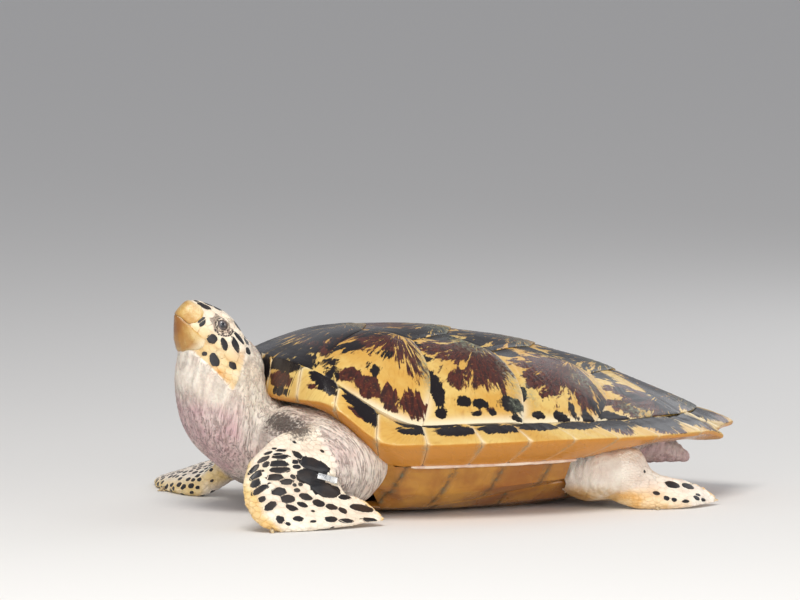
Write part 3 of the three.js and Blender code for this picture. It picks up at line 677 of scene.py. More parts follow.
def dome_plate(node_name, stains, seed):
    work = merged_copy(node_name)
    top = top_faces(work)
    for face in work.faces:
        face.material_index = 0
    for face in top:
        face.material_index = 1
    inner = list({e for f in top for e in f.edges})
    bmesh.ops.subdivide_edges(work, edges=inner, cuts=PLATE_SPLITS, use_grid_fill=True)
    top = [f for f in work.faces if f.material_index == 1]
    corners, plan, away = flat_shape(top)

    low, high = plan.min(0), plan.max(0)
    along = (plan[:, 0] - low[0]) / (high[0] - low[0])
    across = np.abs(plan[:, 1])
    down = (across - across.min()) / (across.max() - across.min())
    share, drop = stains["centre"]
    side = np.sign(plan[:, 1].mean()) if "costal" in node_name else 0
    centre = np.array([lerp(low[0], high[0], share), side * lerp(across.min(), across.max(), drop)])
    grain = growth_places(plan, centre, seed)

    length = high[0] - low[0]
    ripple = ripples(plan, 22, seed)
    wave = 0.5 + 0.5 * np.cos(2 * math.pi * (away / RIDGE_SPACING + 0.25 * ripple))
    ridges = wave ** 6 * smoothstep(2 * MM, 9 * MM, away) * smoothstep(0.5 * length, 0.15 * length, away)
    lift = lerp(FRONT_DIP, REAR_LIFT, along) + 0.5 * MM * ripple + RIDGE * ridges
    lift -= (WORN_EDGE + 0.5 * MM * ripples(plan, 90, seed + 5)) * np.exp(-(away / WORN_REACH) ** 2)
    places = np.column_stack([plan, sheet_height(DOME, plan)]) + dome_normals(plan) * lift[:, None]
    for v, place in zip(corners, places):
        v.co = place
    split_faces(work)
    work.verts.index_update()
    order = [v.index for v in corners]
    for face in work.faces:
        face.material_index = 0
    piece = finished(work, "plate_" + node_name, DOME_HORN, [node_name])

    def keep(title, values):
        whole = np.zeros((len(piece.data.vertices),) + values.shape[1:])
        whole[order] = values
        store(piece.data, title, whole)

    keep("grain", grain)
    for kind in ("dark", "russet", "algae"):
        keep(kind, patches(along, down, stains[kind]))
    lower_edge = smoothstep(0.62, 0.95, down) * np.exp(-(away / PALE_REACH) ** 2)
    keep("pale", 0.9 * lower_edge * ("costal" in node_name))
    keep("under", np.zeros(len(plan)))
    return piece


for number in range(1, 6):
    dome_plate(f"vertebral_{number}", VERTEBRAL_STAINS[number], number - 1)
for side, name in ((LEFT, "left"), (RIGHT, "right")):
    for number in range(1, 5):
        piece = dome_plate(f"costal_{name}_{number}", COSTAL_STAINS[number], 10 * number + side)
        print(piece.name, len(piece.data.polygons), "faces")

# %% [markdown]
# ## The rim
# Twenty-five small plates edge the shell: the nuchal over the neck, eleven marginals a side
# and two supracaudals over the tail. They are thick and rounded, so here we round the edges
# of the solid itself with a bevel, split its faces finely and calm them a little.
# Measured round the crown, every rim plate lies between two angles, and that gives the
# shares that place its stain.

# %% Rounded copies of thick plates
RIM_ROUNDING = 1.5 * MM
RIM_CALMING = 14                 # rounds of relaxing that take the facets off the rim
EDGE_ROUNDS = 7                  # rounds that soften its outer edge
RIM_LONG = (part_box("supracaudal_left")[1][0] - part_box("nuchal")[0][0]) / 2
RIM_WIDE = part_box("marginal_right_6")[1][1]
EVERY_WAY = {"use_axis_x": True, "use_axis_y": True, "use_axis_z": True}
FLAT_DEGREES = 14                # corners whose faces all meet flatter than this may be calmed


def rounded(work, sharp_degrees, rounding):
    """Bevels the edges that are sharper than an angle."""
    sharp = [e for e in work.edges if e.calc_face_angle(0) > math.radians(sharp_degrees)]
    bmesh.ops.bevel(work, geom=sharp, affect="EDGES", offset=rounding, offset_type="OFFSET", segments=2,
                    profile=0.5, material=-1, clamp_overlap=True)


def fine_copy(node_name, rounding, longest, sharp_degrees=38, calming=3):
    """A copy with rounded edges and no edge much longer than longest."""
    work = merged_copy(node_name)
    rounded(work, sharp_degrees, rounding)
    bmesh.ops.triangulate(work, faces=work.faces)
    for _ in range(4):
        wide = [e for e in work.edges if e.calc_length() > longest]
        if not wide:
            break
        bmesh.ops.subdivide_edges(work, edges=wide, cuts=1)
        split_faces(work, 3)
    for _ in range(calming):
        flat = [v for v in work.verts
                if all(e.calc_face_angle(0) < math.radians(FLAT_DEGREES) for e in v.link_edges)]
        bmesh.ops.smooth_vert(work, verts=flat, factor=0.5, **EVERY_WAY)
    work.normal_update()
    return work


print("the rim is", round(2 * RIM_WIDE, 3), "m wide")

# %% [markdown]
# The table below gives each rim plate its stain, as shares from its front seam to its rear
# seam and from the dome outwards. Both sides share it.

# %% The stain of the rim
MARGINAL_STAINS = {
    0: {"dark": [(.5, .4, .6, .5, .95)], "russet": [(.5, .7, .5, .4, .8)]},
    1: {"dark": [(.50, .18, .54, .26, 1.0), (.50, .88, .30, .12, .9)], "russet": [(.45, .60, .38, .24, 1.0)]},
    2: {"dark": [(.62, .22, .42, .28, 1.0), (.74, .50, .26, .22, 1.0)], "russet": [(.4, .62, .2, .1, .7)]},
    3: {"dark": [(.52, .12, .54, .20, 1.0), (.68, .38, .36, .30, 1.0), (.28, .40, .16, .14, .9)],
        "russet": [(.5, .66, .24, .1, .8)]},
    4: {"dark": [(.72, .12, .32, .14, 1.0), (.70, .44, .34, .16, 1.0), (.88, .28, .14, .3, .9)],
        "russet": []},
    5: {"dark": [(.36, .12, .42, .12, 1.0), (.62, .42, .42, .26, 1.0)], "russet": [(.9, .4, .2, .2, .5)]},
    6: {"dark": [(.32, .06, .42, .10, 1.0), (.60, .36, .50, .27, 1.0)], "russet": []},
    7: {"dark": [(.30, .06, .40, .10, 1.0), (.60, .28, .50, .27, 1.0)], "russet": [(.3, .3, .3, .2, .6)]},
    8: {"dark": [(.58, .30, .50, .26, .97)], "russet": [(.3, .3, .3, .2, .6)]},
    9: {"dark": [(.55, .30, .55, .34, .92)], "russet": [(.4, .5, .4, .4, .7)]},
    10: {"dark": [(.50, .36, .55, .42, .88)], "russet": [(.5, .6, .5, .4, .7)]},
    11: {"dark": [(.45, .35, .5, .45, .86)], "russet": [(.6, .6, .4, .4, .75)]},
    12: {"dark": [(.40, .30, .5, .45, .84)], "russet": [(.7, .6, .3, .4, .8)]},
}
print("dark patches round the rim:", [len(stains["dark"]) for stains in MARGINAL_STAINS.values()])

# %% [markdown]
# Where a rim plate begins and ends is measured from its own corners. The shares then say
# how strongly each corner is stained, and the face below stays plain amber.

# %% Lay the rim
SEAM_SKEW = math.radians(3.5)
RIM_STEPS = 5                    # the width of a rim plate is measured at this many places
BEVEL_SHARE = 8 * MM             # the stain's shares start this far out from the inner edge


def rim_shares(places):
    """Shares of a rim plate: from its front seam to its rear seam, and out from the dome."""
    angle = np.arctan2(np.abs(places[:, 1]), -places[:, 0])
    reach = np.linalg.norm(places[:, :2], axis=1)
    rough = (angle - angle.min()) / (np.ptp(angle) + 1e-9)
    step = np.clip((rough * RIM_STEPS).astype(int), 0, RIM_STEPS - 1)
    parts = [reach[step == k] if np.any(step == k) else reach for k in range(RIM_STEPS)]
    middles = (np.arange(RIM_STEPS) + 0.5) / RIM_STEPS
    near = np.interp(rough, middles, [part.min() for part in parts]) + BEVEL_SHARE
    far = np.interp(rough, middles, [part.max() for part in parts])
    out = np.clip((reach - near) / (far - near), 0, 1)
    straight = angle + SEAM_SKEW * np.sin(angle) * (1 - out)
    return (straight - straight.min()) / (np.ptp(straight) + 1e-9), out


def edge_rounding(places, edges, out, number):
    """Steps that round the outer edge; none goes along the rim, so the seams stay shut."""
    blunt = smoothstep(10, 7, number)
    step = blurred(places, edges, EDGE_ROUNDS, 0.5 * blunt * smoothstep(0.55, 0.95, out)) - places
    across, ahead = places[:, 1] / RIM_WIDE ** 2, places[:, 0] / RIM_LONG ** 2
    along_rim = np.column_stack([-across, ahead, np.zeros(len(places))])
    along_rim /= np.linalg.norm(along_rim, axis=1)[:, None]
    return step - (step * along_rim).sum(1)[:, None] * along_rim


def rim_plate(node_name, number, seed):
    work = fine_copy(node_name, RIM_ROUNDING, 6 * MM)
    piece = finished(work, "plate_" + node_name, RIM_HORN, [node_name], 60)
    put_corners(piece.data, calmed(corners_of(piece.data), edges_of(piece.data), RIM_CALMING, 0.5))
    places = corners_of(piece.data)
    along, out = rim_shares(places)
    put_corners(piece.data, places + edge_rounding(places, edges_of(piece.data), out, number))
    places = corners_of(piece.data)
    normals = normals_of(piece.data)
    under = smoothstep(0.3, -0.45, normals[:, 2])
    ripple = np.array([noise.noise(tuple(p * 26 + seed)) for p in places])
    ridge = (0.5 + 0.5 * np.cos(2 * math.pi * ((1 - along) * 3.2 + 0.3 * ripple))) ** 8
    put_corners(piece.data, places + normals * ((0.35 * ripple + 0.3 * ridge * (1 - under))[:, None] * MM))
    rear = places[np.argmax(along - out)][:2]
    store(piece.data, "grain", growth_places(places[:, :2], rear, seed))
    stains = MARGINAL_STAINS[number]
    for kind in ("dark", "russet"):
        store(piece.data, kind, patches(along, out, stains[kind], 1.8) * (1 - under))
    seam = np.minimum(along, 1 - along)
    fringe = np.exp(-(seam / 0.05) ** 2) + 0.9 * np.exp(-(out / 0.07) ** 2) * (1 - under)
    store(piece.data, "pale", np.clip(0.75 * fringe, 0, 1) * (1 - 0.7 * under))
    slime = np.exp(-((1 - along) / 0.10) ** 2) + 0.7 * np.exp(-(along / 0.05) ** 2)
    store(piece.data, "algae", np.clip(0.85 * slime * under * smoothstep(0.25, 0.9, out), 0, 1))
    store(piece.data, "under", under)
    return piece


rim_plate("nuchal", 0, 3)
for side in ("left", "right"):
    for number in range(1, 12):
        rim_plate(f"marginal_{side}_{number}", number, number + 20 * len(side))
    rim_plate(f"supracaudal_{side}", 12, 12 + 20 * len(side))
print("25 rim plates")

# %% [markdown]
# ## Belly and bridges
# Below, the plastron is a flat floor of paired plates, and on each side a bridge of four
# plates joins it to the rim. They are thick amber horn with brown, slimy seams. A seam is a
# groove: we slice the copy along it three times and press the middle line in.

# %% Amber horn of the underside
AMBER_LIGHT = (0.52, 0.25, 0.036, 1)
AMBER_DEEP = (0.31, 0.11, 0.012, 1)
AMBER_BAND = (0.30, 0.085, 0.012, 1)
SEAM_BROWN = (0.14, 0.070, 0.022, 1)


def belly_horn():
    made, tree, surface = new_material("belly_horn", Coat_Weight=0.3, Coat_Roughness=0.15, IOR=1.45)
    place = here(tree)
    bands = speckle(tree, stretched(tree, place, (9.0, 9.0, 30.0)), 1.0, 4.0, distortion=0.6)
    mottle = speckle(tree, place, 120.0, 5.0)
    amber = use(tree, CLOUDING, Light=AMBER_LIGHT, Deep=AMBER_DEEP, Scale=11.0)["Colour"]
    amber = mixed(tree, ramp(tree, bands, 0.45, 0.75, 0.0, 0.55), amber, AMBER_BAND)
    slime = mixed(tree, ramp(tree, mottle, 0.5, 0.75), SEAM_BROWN, ALGAE)
    film = times(tree, mark(tree, "seam"), ramp(tree, mottle, 0.25, 0.6))
    marks = use(tree, SCRATCHES)
    rough = plus(tree, ramp(tree, marks["Wear"], 0, 1, 0.22, 0.38), times(tree, film, 0.3))
    dress(tree, surface, mixed(tree, film, amber, slime), rough, marks["Height"], 0.4 * MM)
    return made


BELLY_HORN = belly_horn()
SEAM_WIDTH = 2.2 * MM
SEAM_DEPTH = 1.1 * MM


def slice_seam(work, point, across):
    for step in (-1, 0, 1):
        geometry = list(work.verts) + list(work.edges) + list(work.faces)
        bmesh.ops.bisect_plane(work, geom=geometry, dist=1e-6, plane_co=point + across * (step * SEAM_WIDTH),
                               plane_no=across)


def grooved_piece(node_name, seams, rounding):
    """seams are (point, direction across the seam) pairs."""
    work = fine_copy(node_name, rounding, 16 * MM)
    for point, across in seams:
        slice_seam(work, point, across)
    work.normal_update()
    pressed = {}
    for v in work.verts:
        gap = min(abs((v.co - point).dot(across)) for point, across in seams)
        pressed[v] = (-v.normal * SEAM_DEPTH if gap < 0.2 * SEAM_WIDTH else Vector(), gap)
    for v, (push, _) in pressed.items():
        v.co += push
    gaps = [pressed[v][1] for v in work.verts]
    split_faces(work)
    piece = finished(work, "plate_" + node_name, BELLY_HORN, [node_name], 50)
    store(piece.data, "seam", np.exp(-(np.array(gaps) / (4.5 * MM)) ** 2))
    return piece


BRIDGE_SEAMS = (0.10, 0.33, 0.56, 0.80)
PLASTRON_SEAMS = (0.14, 0.33, 0.52, 0.72, 0.88)


def seam_rows(node_name, shares, lean):
    low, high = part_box(node_name)
    across = Vector((1, 0, lean)).normalized()
    return [(Vector((lerp(low[0], high[0], share), 0, 0)), across) for share in shares]


for side in ("left", "right"):
    node_name = "bridge_" + side
    grooved_piece(node_name, seam_rows(node_name, BRIDGE_SEAMS, -0.4), 2.5 * MM)
midline = [(Vector((0, 0, 0)), Vector((0, 1, 0)))]
grooved_piece("plastron", seam_rows("plastron", PLASTRON_SEAMS, 0) + midline, 2.5 * MM)
print("plastron and two bridges")

# %% [markdown]
# Where the rim meets the bridge, a living turtle shows a soft pale welt of skin. A curve with
# a round section makes it: we take the lowest corners of the rim as its path.

# %% Welts
WELT = 3.2 * MM
WELT_RIM = range(4, 10)          # the rim plates over the bridge
WELT_ENDS = (-0.176, 0.178)      # where it begins and ends along the shell


def welt_skin():
    made, tree, surface = new_material("welt_skin", Roughness=0.45)
    cloud = use(tree, CLOUDING, Light=(0.85, 0.72, 0.58, 1), Deep=(0.66, 0.44, 0.32, 1), Scale=26.0)["Colour"]
    dress(tree, surface, cloud, None, speckle(tree, here(tree), 260.0, 4.0), 0.4 * MM)
    return made


def welt(name, side):
    """A curve with a round section along the lowest corners of the rim, made into a mesh."""
    corners = np.vstack([corners_of(NODES[f"marginal_{name}_{n}"].data) for n in WELT_RIM])
    path = []
    for x in np.linspace(*WELT_ENDS, 15):
        near = corners[np.abs(corners[:, 0] - x) < 26 * MM]
        low = near[near[:, 2] < near[:, 2].min() + 3 * MM].mean(0)
        path.append((x, low[1] + side * 0.4 * WELT, low[2] - 0.1 * WELT))
    path = blurred(np.array(path), np.array([(i, i + 1) for i in range(len(path) - 1)]), 3, 0.5)
    curve = bpy.data.curves.new("welt_path", "CURVE")
    curve.dimensions = "3D"
    curve.bevel_depth, curve.bevel_resolution, curve.use_fill_caps = WELT, 3, True
    spline = curve.splines.new("NURBS")
    spline.points.add(len(path) - 1)
    spline.use_endpoint_u, spline.order_u, spline.resolution_u = True, 4, 6
    for index, (point, place) in enumerate(zip(spline.points, path)):
        point.co = (*place, 1.0)
        point.radius = 0.35 if index in (0, len(path) - 1) else 1.0
    work = work_on(as_mesh(in_scene("welt_holder", curve)))
    bmesh.ops.remove_doubles(work, verts=work.verts, dist=0.01 * MM)
    for v in work.verts:
        v.co += v.normal * 0.7 * MM * noise.noise(tuple(v.co * 60))
    split_faces(work)
    bmesh.ops.recalc_face_normals(work, faces=work.faces)
    return finished(work, "welt_bridge_" + name, WELT_SKIN, None, 60)


WELT_SKIN = welt_skin()
for side, name in ((LEFT, "left"), (RIGHT, "right")):
    print(welt(name, side).name, "finished")

# %% [markdown]
# ## One skin over all the flesh
# The solids of flesh meet at hairline gaps, which a living animal doesn't have. We swell a
# copy of each one until the gaps close, join the copies and remesh the lot with small cubes,
# called voxels. What comes out is one closed skin. It still has the solids' facets, so we
# relax it. Relaxing shrinks round shapes, so we find what was lost, relax that loss as well
# and give it back: the facets go and the size stays.
# Last, the skin is drawn in by the depth of the scales.

# %% Remesh the flesh
FLESH = ["trunk", "neck", "head", "tail", "front_flipper_left", "front_flipper_right",
         "hind_flipper_left", "hind_flipper_right"]
UNDER_SKIN = ["upper_beak", "lower_beak"]     # the skin runs on beneath these
SWELL = 0.7 * MM
SCALE_DEPTH = 0.7 * MM
VOXEL = 3.8 * MM


def joined_flesh():
    whole = bmesh.new()
    for node_name in FLESH + UNDER_SKIN + ["eye_left", "eye_right"]:
        work = merged_copy(node_name)
        for v in work.verts:
            v.co += v.normal * SWELL * (1 if node_name in FLESH else 0.3)
        shape = mesh_of(work, "swollen_" + node_name)
        whole.from_mesh(shape)
        bpy.data.meshes.remove(shape)
    return mesh_of(whole, "joined_flesh")


def modified(mesh, kind, chosen=None, **settings):
    """The mesh after one modifier; chosen lists the corners that it acts on."""
    holder = in_scene("holder", mesh)
    change = holder.modifiers.new("change", kind)
    for key, value in settings.items():
        setattr(change, key, value)
    if chosen is not None:
        holder.vertex_groups.new(name="chosen").add([int(i) for i in chosen], 1.0, "REPLACE")
        change.vertex_group = "chosen"
    result = as_mesh(holder)
    bpy.data.meshes.remove(mesh)
    result.materials.clear()
    return result


def tree_of(node_names):
    places, faces, owners = [], [], []
    for index, node_name in enumerate(node_names):
        mesh = NODES[node_name].data
        start = len(places)
        places += [v.co[:] for v in mesh.vertices]
        faces += [[start + i for i in f.vertices] for f in mesh.polygons]
        owners += [index] * len(mesh.polygons)
    return BVHTree.FromPolygons(places, faces), np.array(owners)


flesh_tree, flesh_owner = tree_of(FLESH)
SHELL_NODES = [n for n in NODES if SLOTS[n] in ("carapace_scute", "marginal_scute", "plastron_scute")]
shell_tree, _ = tree_of(SHELL_NODES)


def owners_of(mesh):
    """For every corner, the number of the part of the flesh that lies nearest."""
    return np.array([flesh_owner[flesh_tree.find_nearest(v.co)[2]] for v in mesh.vertices])


def part_shares(mesh, edges, rounds):
    """For every part of the flesh, how much each corner belongs to it, from 0 to 1."""
    shares = blurred(np.eye(len(FLESH))[owners_of(mesh)], edges, rounds, 0.5)
    return {name: shares[:, i] for i, name in enumerate(FLESH)}


skin_mesh = modified(joined_flesh(), "REMESH", mode="VOXEL", voxel_size=VOXEL)
print("skin after remeshing:", len(skin_mesh.polygons), "faces")

# %% [markdown]
# Most of the trunk lies under the shell, where nobody sees it. A ray from each corner of the
# skin straight outwards tells whether a plate covers it, and the covered part is thinned to
# a few large faces.

# %% Thin what the shell hides
COVER_REACH = 0.3
COVER_TILTS = [(0, 0), (1.4, 0), (-1.4, 0), (0, 1.4), (0, -1.4)]
COVER_MARGIN = 4                 # rings of faces kept whole inside the edge of the cover
THINNED_SHARE = 0.05
DIM_FROM, DIM_FACING, DIM_SHARE = -0.2, -0.6, 0.22   # the trunk's rear and what faces down


def covered_corners(mesh, edges):
    """The corners from which no ray gets past the shell."""
    open_air = np.zeros(len(mesh.vertices))
    for index, (v, normal) in enumerate(zip(mesh.vertices, normals_of(mesh))):
        outward = Vector(normal)
        side = outward.orthogonal().normalized()
        across = outward.cross(side)
        start = v.co + 0.2 * MM * outward
        for tilt, turn in COVER_TILTS:
            ray = (outward + tilt * side + turn * across).normalized()
            if shell_tree.ray_cast(start, ray, COVER_REACH)[0] is None:
                open_air[index] = 1.0
                break
    for _ in range(COVER_MARGIN):
        open_air = np.maximum(open_air, np.ceil(neighbour_mean(open_air, edges)))
    return np.flatnonzero(open_air == 0)


def thinned(mesh, chosen, share):
    """Keeps only a share of the chosen corners."""
    kept = 1 - (1 - share) * len(chosen) / len(mesh.vertices)
    return modified(mesh, "DECIMATE", chosen=chosen, ratio=kept)


skin_mesh = thinned(skin_mesh, covered_corners(skin_mesh, edges_of(skin_mesh)), THINNED_SHARE)
places, facing = corners_of(skin_mesh), normals_of(skin_mesh)
on_trunk = owners_of(skin_mesh) == FLESH.index("trunk")
dim = (on_trunk & (places[:, 0] > DIM_FROM)) | (facing[:, 2] < DIM_FACING)
skin_mesh = thinned(skin_mesh, np.flatnonzero(dim), DIM_SHARE)
print("skin after thinning:", len(skin_mesh.vertices), "corners")

# %% [markdown]
# The head needs a finer skin than the rest, and the lids a finer one still. We split the
# edges there once or twice before the relaxing, which then rounds the new corners too.

# %% Refine the head and calm the facets
HEAD_TIP = np.array([-0.491, 0.0, 0.332])
HEAD_PITCH = math.radians(43)
HEAD_BACK = np.array([math.cos(HEAD_PITCH), 0.0, -math.sin(HEAD_PITCH)])
HEAD_UP = np.array([math.sin(HEAD_PITCH), 0.0, math.cos(HEAD_PITCH)])
EYE_BACK, EYE_UP, EYE_OUT, EYE_RADIUS = 59 * MM, 41 * MM, 33.5 * MM, 13 * MM


def in_head(places):
    """Distances behind the beak's tip, out from the middle and above the mouth."""
    offset = np.asarray(places) - HEAD_TIP
    return offset @ HEAD_BACK, offset[:, 1], offset @ HEAD_UP


def from_head(back, out, up):
    return HEAD_TIP + np.multiply.outer(back, HEAD_BACK) + np.multiply.outer(up, HEAD_UP) + \
        np.multiply.outer(out, np.array([0.0, 1.0, 0.0]))


def refined(mesh, wanted):
    """Splits in two every edge whose both ends are wanted."""
    work = work_on(mesh)
    chosen = wanted(np.array([v.co[:] for v in work.verts]))
    split = [e for e in work.edges if chosen[e.verts[0].index] and chosen[e.verts[1].index]]
    bmesh.ops.subdivide_edges(work, edges=split, cuts=1, use_grid_fill=True)
    split_faces(work)
    work.to_mesh(mesh)
    work.free()


def on_head(places):
    back, _, up = in_head(places)
    return (back < 128 * MM) & (up > -38 * MM)


def near_eye(places):
    back, out, up = in_head(places)
    spread = np.hypot(back - EYE_BACK, up - EYE_UP)
    return (spread < 21 * MM) & (np.abs(out) > 24 * MM)


refined(skin_mesh, on_head)
refined(skin_mesh, near_eye)
edges = edges_of(skin_mesh)
shares = part_shares(skin_mesh, edges, 8)
thin = shares["front_flipper_left"] + shares["front_flipper_right"]
thin += shares["hind_flipper_left"] + shares["hind_flipper_right"] + shares["tail"]
strength = 0.62 - 0.42 * np.clip(thin, 0, 1)
put_corners(skin_mesh, calmed(corners_of(skin_mesh), edges, 60, strength))
put_corners(skin_mesh, corners_of(skin_mesh) - normals_of(skin_mesh) * (SWELL + SCALE_DEPTH))
skin_mesh.calc_loop_triangles()
print("skin after refining:", len(skin_mesh.loop_triangles), "triangles")

# %% [markdown]
# ## Lids, mouth and folds
# Now the smooth skin is modelled. Lines that are known on the side of the head, such as the
# mouth and the edge of the jaw, become grooves. The lids are laid over the eyeball as a
# layer of even thickness, and inside the opening the skin drops behind the ball. Folds of
# the neck come from noise that is stretched along the fold and bent into sharp creases,
# which is how slack skin hangs: wide soft rolls with narrow lines between.

# %% Model the head and the folds
MOUTH = np.array([(9, 5), (22, 5), (37, 4), (53, 2.6), (68, 2.2), (82, 0.4), (99, -4), (120, -11)]) * MM
JAW_EDGE = np.array([(40, -24), (54, -24.4), (78, -25), (96, -26), (112, -28), (126, -31), (138, -34)]) * MM
NAPE_EDGE = np.array([(138, -33), (138, -18), (130, 12), (121, 34), (117, 44), (104, 66)]) * MM
# Each groove: its line, depth and width
HEAD_GROOVES = [(MOUTH, 1.5 * MM, 1.5 * MM), (JAW_EDGE, 1.6 * MM, 2.6 * MM), (NAPE_EDGE, 1.2 * MM, 2.2 * MM)]
NOSTRIL_BACK, NOSTRIL_OUT, NOSTRIL_UP = 9 * MM, 6 * MM, 43 * MM
NOSTRIL_DEPTH, NOSTRIL_WIDTH = 3.0 * MM, 2.2 * MM
HEAD_LEVEL = 0.2                 # the whole head is higher than this
HEAD_SIDE = 20 * MM              # the side of the head, with the eye, is farther out than this
LID_LONG, LID_HIGH, LID_THICK = 10.5 * MM, 7.6 * MM, 1.2 * MM
# Rolls of the lids: height, how many lids out from the middle of the eye, width
LID_ROLLS = [(0.5 * MM, 1.16, 0.13), (-0.6 * MM, 1.5, 0.13), (-0.8 * MM, 2.1, 0.12)]
LIDS_END = 2.2
BROW_BACK, BROW_UP, BROW_HEIGHT, BROW_WIDTH = 60 * MM, 55 * MM, 2.6 * MM, 6.5 * MM
BALL_DROP = 5 * MM
NECK_LIE = np.array([-0.2, 0.0, -0.98])
TAIL_LIE = np.array([0.93, 0.0, -0.36])
FOLD_DEPTH = 2.0 * MM
FOLD_SPACING = 15 * MM


def line_distance(along, high, line):
    """Distance of points in a plane from a line of several straight runs."""
    points = np.column_stack([along, high])
    nearest = np.full(len(points), 1.0)
    for start, end in zip(line[:-1], line[1:]):
        run = end - start
        share = np.clip((points - start) @ run / (run @ run), 0, 1)
        nearest = np.minimum(nearest, np.linalg.norm(points - start - share[:, None] * run, axis=1))
    return nearest


def groove(distance, width):
    return np.exp(-(distance / width) ** 2)


def head_cover(places):
    """1 on the scaled part of the head, 0 on the neck and the throat."""
    back, _, up = in_head(places)
    behind = np.interp(up, NAPE_EDGE[:, 1], NAPE_EDGE[:, 0]) - back
    above = up - np.interp(back, JAW_EDGE[:, 0], JAW_EDGE[:, 1])
    return smoothstep(0, 3 * MM, behind) * smoothstep(-1 * MM, 2 * MM, above) * (places[:, 2] > HEAD_LEVEL)


def eye_spread(back, up):
    return np.hypot((back - EYE_BACK) / LID_LONG, (up - EYE_UP) / LID_HIGH)


def shape_lids(places):
    """Steps outwards that lay the lids and the brow over the eyeball."""
    back, out, up = in_head(places)
    side = np.sign(out)
    spread = np.hypot(back - EYE_BACK, up - EYE_UP)
    ball = EYE_OUT + np.sqrt(np.maximum((EYE_RADIUS + LID_THICK) ** 2 - spread ** 2, 0))
    reach = np.abs(out)
    near = smoothstep(23 * MM, 17 * MM, spread) * (reach > HEAD_SIDE)
    blend = 0.5 * (reach + ball + np.sqrt((reach - ball) ** 2 + (1.6 * MM) ** 2)) - 0.5 * MM
    quotient = eye_spread(back, up)
    rolled = blend + sum(height * groove(quotient - where, width) for height, where, width in LID_ROLLS)
    rolled = lerp(rolled, ball - BALL_DROP, smoothstep(1.04, 0.9, quotient))
    brow = BROW_HEIGHT * groove(np.hypot((back - BROW_BACK) / 1.9, up - BROW_UP), BROW_WIDTH)
    return side * (lerp(reach, rolled, near) + brow * (reach > HEAD_SIDE)) - out


def creases(places, lie, spacing, stretch, sharpness):
    """Narrow creases along a direction: 1 in the crease, 0 on the rolls between."""
    flat = places - (1 - 1 / stretch) * np.outer(places @ lie, lie)
    found = np.empty(len(places))
    for index, place in enumerate(flat / spacing):
        bent = noise.noise(tuple(place * 0.45 + 7.0))
        value = noise.noise((place[0] + 0.8 * bent, place[1] + 0.8 * bent, place[2]))
        found[index] = 1 - min(1, abs(value) * sharpness)
    return found ** 2


print(len(HEAD_GROOVES), "grooves on each side of the head")

# %% [markdown]
# `sink` adds up how deep every corner is pressed in: grooves and nostrils on the head, folds
# on the neck, the tail and the thighs. The lids come last.

# %% Press in grooves and folds
places = corners_of(skin_mesh)
facing = normals_of(skin_mesh)
back, out, up = in_head(places)
cover = head_cover(places)
beside = smoothstep(8 * MM, 16 * MM, np.abs(out)) * (places[:, 2] > HEAD_LEVEL)
sink = sum(depth * groove(line_distance(back, up, line), width) * beside
           for line, depth, width in HEAD_GROOVES)
front = shares["front_flipper_left"] + shares["front_flipper_right"]
hind = shares["hind_flipper_left"] + shares["hind_flipper_right"]
slack = shares["neck"] + shares["trunk"] * smoothstep(-0.2, -0.28, places[:, 0])
slack += 0.5 * front * smoothstep(0.11, 0.15, places[:, 2])
slack = np.clip(slack, 0, 1) * (1 - cover)
neck_fold = creases(places, NECK_LIE, FOLD_SPACING, 5.0, 3.2) * slack
fine_fold = creases(places + 3.0, NECK_LIE, 0.45 * FOLD_SPACING, 4.0, 3.0) * slack
rear = np.clip(shares["tail"] + 0.6 * smoothstep(0.15, 0.24, places[:, 0]) * shares["trunk"], 0, 1)
tail_fold = 1.6 * creases(places, TAIL_LIE, 13 * MM, 0.6, 2.2) * rear
thigh = hind * smoothstep(0.25, 0.2, places[:, 0])
tail_fold = tail_fold + creases(places, NECK_LIE, 12 * MM, 3.0, 3.0) * thigh
sink += FOLD_DEPTH * neck_fold + 0.35 * FOLD_DEPTH * fine_fold + 1.1 * FOLD_DEPTH * tail_fold
nostril = np.hypot(np.hypot(back - NOSTRIL_BACK, up - NOSTRIL_UP), np.abs(out) - NOSTRIL_OUT)
sink += NOSTRIL_DEPTH * groove(nostril, NOSTRIL_WIDTH)
shaped = places - facing * sink[:, None]
shaped[:, 1] += shape_lids(shaped)
put_corners(skin_mesh, shaped)
# How much painted shade darkens each corner: in the folds of the neck, tail and thighs, and in the grooves
# and nostrils of the head
crease = np.clip(neck_fold + 0.4 * fine_fold + 0.35 * tail_fold + sink / (2.5 * MM) * beside, 0, 1)
print("deepest fold", round(float(sink.max()) / MM, 2), "mm")

# %% [markdown]
# ## Markings of the skin
# The same few numbers at every corner of the skin tell the material how yellow, orange,
# pink or stained it is there. Some of them paint shade: the crease mark in the creases, a shadow
# mark at the shoulder, and the pink, which on the throat and low on the neck is partly painted shade.
# The scales will copy them from the nearest corner of the skin, so that both carry one set of markings.

# %% Markings
NEAR_EDGE_FACING = np.array([0.94, -0.34, 0.2])      # away from the leading edge, on the near flipper
FAR_EDGE_FACING = np.array([0.95, 0.1, 0.3])
EDGE_HEIGHTS, EDGE_PLACES = [0.004, 0.030, 0.076, 0.124], [-0.442, -0.470, -0.477, -0.442]
ORANGE_SPOTS = [(1.0, (106, -24), (24, 8)), (0.5, (118, 22), (9, 12)),
                (0.7, (44, -8), (18, 16)), (0.4, (94, 4), (26, 4))]
NAPE_X, NAPE_Z = -0.372, 0.235
# Centre of a painted shadow at the top of the near shoulder
SMUDGE_X, SMUDGE_Z = -0.352, 0.164


def spot_of(back, up, centre, size):
    """1 at a point on the side of the head, falling off within a size; both in millimetres."""
    away = (back - centre[0] * MM) / (size[0] * MM), (up - centre[1] * MM) / (size[1] * MM)
    return np.exp(-away[0] ** 2 - away[1] ** 2)


